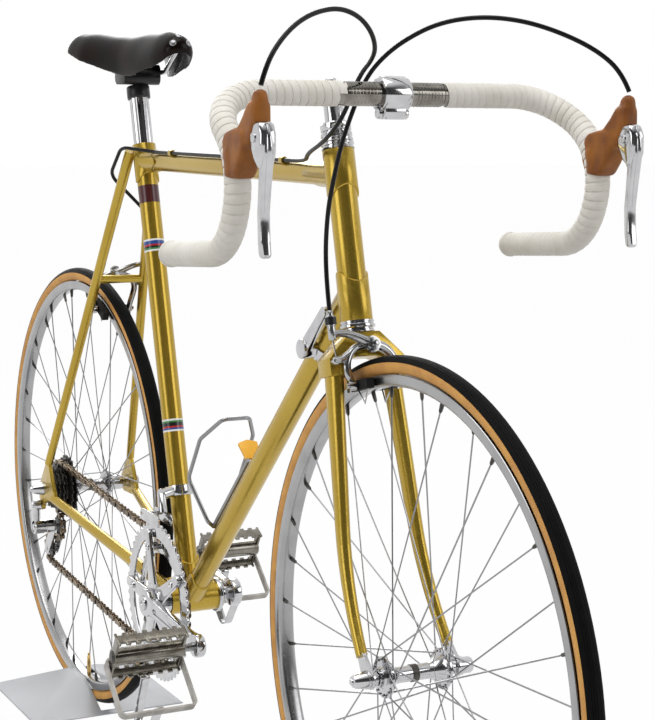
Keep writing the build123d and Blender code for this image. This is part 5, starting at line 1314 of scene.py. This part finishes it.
for spot in (guide, tension):
    bolt = turned("jockey_bolt", [(0, -51), (2.6, -51), (4.2, -50.6), (4.6, -49.6), (2.6, -49.4), (2.6, -33),
                                  (4.6, -32.6), (4.2, -31.6), (0, -31.6)], steps=16)
    mech_parts.append(placed(bolt, beside_axle(spot)))
done(joined("rear_gear_mech", mech_parts), chrome, "frame", "polished_alloy", "rear_mech")
# %% [markdown]
# ## Bolts, caps and valves
# Small turned pieces finish the drive and the wheels: the bolts that hold the chainrings
# to the spider, the caps over the crank and pedal axles, and a brass valve in each rim.

# %% Ring bolts and caps
bolt_circle, spider_face, crank_face = 74.0, 55.5, 69.0
ring_bolt = turned("ring_bolt", [(0, -1.0), (2.2, -1.0), (2.6, -2.0), (4.6, -2.0), (5.2, -1.4), (5.2, 0.5),
                                 (0, 0.5)], steps=24)
bolts = []
for lean in arm_leans:
    spot = bracket + Vector((bolt_circle * cos(lean), -spider_face, bolt_circle * sin(lean))) * MM
    bolts.append(copied(ring_bolt, "ring_bolt_set", spot))
crank_cap = turned("crank_cap", [(0, -1.4), (3.0, -1.4), (3.4, -2.4), (9.6, -2.4), (10.6, -1.6), (10.6, 0.5),
                                 (0, 0.5)], steps=32)
bolts.append(copied(crank_cap, "right_cap", bracket + Vector((0, -crank_face, 0)) * MM))
bolts.append(copied(crank_cap, "left_cap", bracket + Vector((0, crank_face, 0)) * MM,
                    Matrix.Rotation(pi, 3, "Z")))
for spare in (ring_bolt, crank_cap):
    bpy.data.objects.remove(spare)
done(joined("chainset_bolts", bolts), chrome, "crankset", "polished_alloy")

# %% Pedal caps
pedal_end, lean = 176.0, radians(crank_lean)
cap_outline = [(0, 2.6), (5.4, 2.4), (6.0, 1.4), (7.6, 1.2), (8.4, 0.4), (8.4, -0.6), (0, -0.6)]
for side, body in ((-1, "right_pedal"), (1, "left_pedal")):
    cap = turned(body + "_cap", cap_outline, steps=28)
    reach = -side * crank_reach
    eye = bracket + Vector((reach * cos(lean), side * pedal_end, reach * sin(lean))) * MM
    placed(cap, eye, Matrix.Rotation(0 if side > 0 else pi, 3, "Z"))
    done(cap, dark_steel, body, "dark_steel")

# %% Valves, from the rim's bed towards the hub
valve_foot, valve_turns = 303.0, ((front_axle, "front_wheel", -85.0), (rear_axle, "rear_wheel", -87.9))
for axle, body, turn in valve_turns:
    out = Vector((cos(radians(turn)), 0, sin(radians(turn))))
    valve = turned(body + "_valve", [(0, -2), (3.0, -2), (3.0, 22), (2.6, 23), (2.6, 30), (1.8, 31), (1.8, 35),
                                     (1.2, 36), (0, 36)], steps=16)
    placed(valve, axle + out * valve_foot * MM, frame_of((0, 1, 0), -out))
    done(valve, brass, body, "steel")
# %% [markdown]
# ## Side-pull brakes
# Two forged arms cross at a pivot. The front arm carries the cable's adjuster and reaches
# over the tyre to the far pad, the back arm carries the anchor bolt and reaches to the
# near pad. A brake is drawn in its own axes, with X across, Y up and Z away from the
# frame, and one turn sets it on the fork crown or on the rear bridge.

# %% The forms of one brake
arm_radius, back_layer, front_layer, cable_side, pad_side = 4.6, 3.25, 10.75, 46.0, 24.5


def brake(name, origin, x_axis, up_axis, reach, body, node):
    """Arms, pivot, adjuster, anchor bolt, pad nuts and guide wires of one brake."""
    turn = frame_of(x_axis, up_axis)
    along_out = turn @ frame_of((1, 0, 0), (0, 0, 1))
    along_side = turn @ frame_of((0, 0, 1), (1, 0, 0))

    def at(x, y, z):
        return origin + turn @ (Vector((x, y, z)) * MM)

    far_arm = [(-cable_side, 13), (-36, 15), (-18, 10), (0, 0), (13, -2), (25, -13), (28.5, -28),
               (26, 8 - reach), (pad_side, -reach - 7)]
    near_arm = [(0, 0), (-11, 1), (-23, -6), (-29, -19), (-28, -32), (-25.5, 8 - reach),
                (-pad_side, -reach - 7)]
    anchor_arm = [(-24, -8), (-33, -13), (-41, -15)]
    parts = [
        rods("far_arm", [[at(x, y, front_layer) for x, y in far_arm]], arm_radius, sides=5,
             swell=(0.9, 0.9, 1.0, 1.35, 1.25, 1.05, 0.95, 0.9, 0.9), smooth=True),
        rods("near_arm", [[at(x, y, back_layer) for x, y in near_arm]], arm_radius, sides=5,
             swell=(1.0, 1.0, 1.0, 1.0, 0.95, 0.9, 0.9), smooth=True),
        rods("anchor_arm", [[at(x, y, back_layer) for x, y in anchor_arm]], arm_radius, sides=4,
             swell=(1.0, 0.95, 0.95)),
    ]
    pivot = turned("pivot", [(0, -8), (5, -8), (5, 14), (9, 14), (9, 15.2), (7.2, 15.4), (7.2, 19.6), (4, 20),
                             (4, 22.4), (3, 23), (0, 23)], steps=24)
    parts.append(placed(pivot, origin, along_out))
    barrel = turned("barrel", [(0, 38.4), (2.9, 38.4), (3.5, 37.6), (3.5, 33), (5.0, 32.4), (5.0, 22),
                               (4.2, 21.4), (4.2, 8), (3.4, 6.6), (0, 6.6)], steps=24)
    parts.append(placed(barrel, at(-cable_side, 0, front_layer), turn))
    parts.append(rods("inner_wire", [[at(-cable_side, 8, front_layer), at(-42, -14, front_layer - 3)]], 0.8))
    bolt = turned("bolt", [(0, -6), (4.6, -6), (4.6, 4.4), (3.4, 5), (3.4, 7), (0, 7)], steps=6)
    parts.append(placed(bolt, at(-41, -15, back_layer), along_out))
    for side in (1, -1):
        nut = turned("nut", [(0, -5), (5.4, -5), (5.8, -4), (5.8, 3), (3.4, 3.4), (3.4, 6), (0, 6)], steps=12)
        facing = along_side if side > 0 else along_side @ Matrix.Rotation(pi, 3, "Z")
        parts.append(placed(nut, at(side * (pad_side + 3), -reach, front_layer - 3.6), facing))
        guide = [(14.5, -5, -2), (12.5, -20, 6), (14.5, -5, 20)]
        parts.append(rods("guide", [[at(side * x, y - reach, z) for x, y, z in guide]], 0.9))
    done(joined(name, parts), alloy, body, "polished_alloy", node, angle=40)
    knurl = turned(name + "_knurl", [(5.1, 23.0), (6.4, 23.4), (6.4, 31.2), (5.1, 31.8)], steps=20, close=True)
    placed(knurl, at(-cable_side, 0, front_layer), turn)
    done(knurl, black_clamp, body, "black_plastic")


# %% Front brake on the crown, rear brake on the bridge
pad_radius, front_rise, front_stand, rear_reach, bridge_stand = 309.0, 352.0, 16.0, 58.0, 7.0
brake("front_side_pull", on_steer(front_rise, front_stand), (0, 1, 0), steer_up, front_rise - pad_radius,
      "fork", "front_brake")
stay_top = on_seat(620.0, -10.0)
stay_up = (Vector((stay_top.x, 0, stay_top.z)) - Vector((rear_axle.x, 0, rear_axle.z))).normalized()
stay_back = Vector((-stay_up.z, 0, stay_up.x))
bridge_face = rear_axle + stay_up * (pad_radius + rear_reach) * MM + stay_back * bridge_stand * MM
brake("rear_side_pull", bridge_face, (0, -1, 0), stay_up, rear_reach, "frame", "rear_brake")
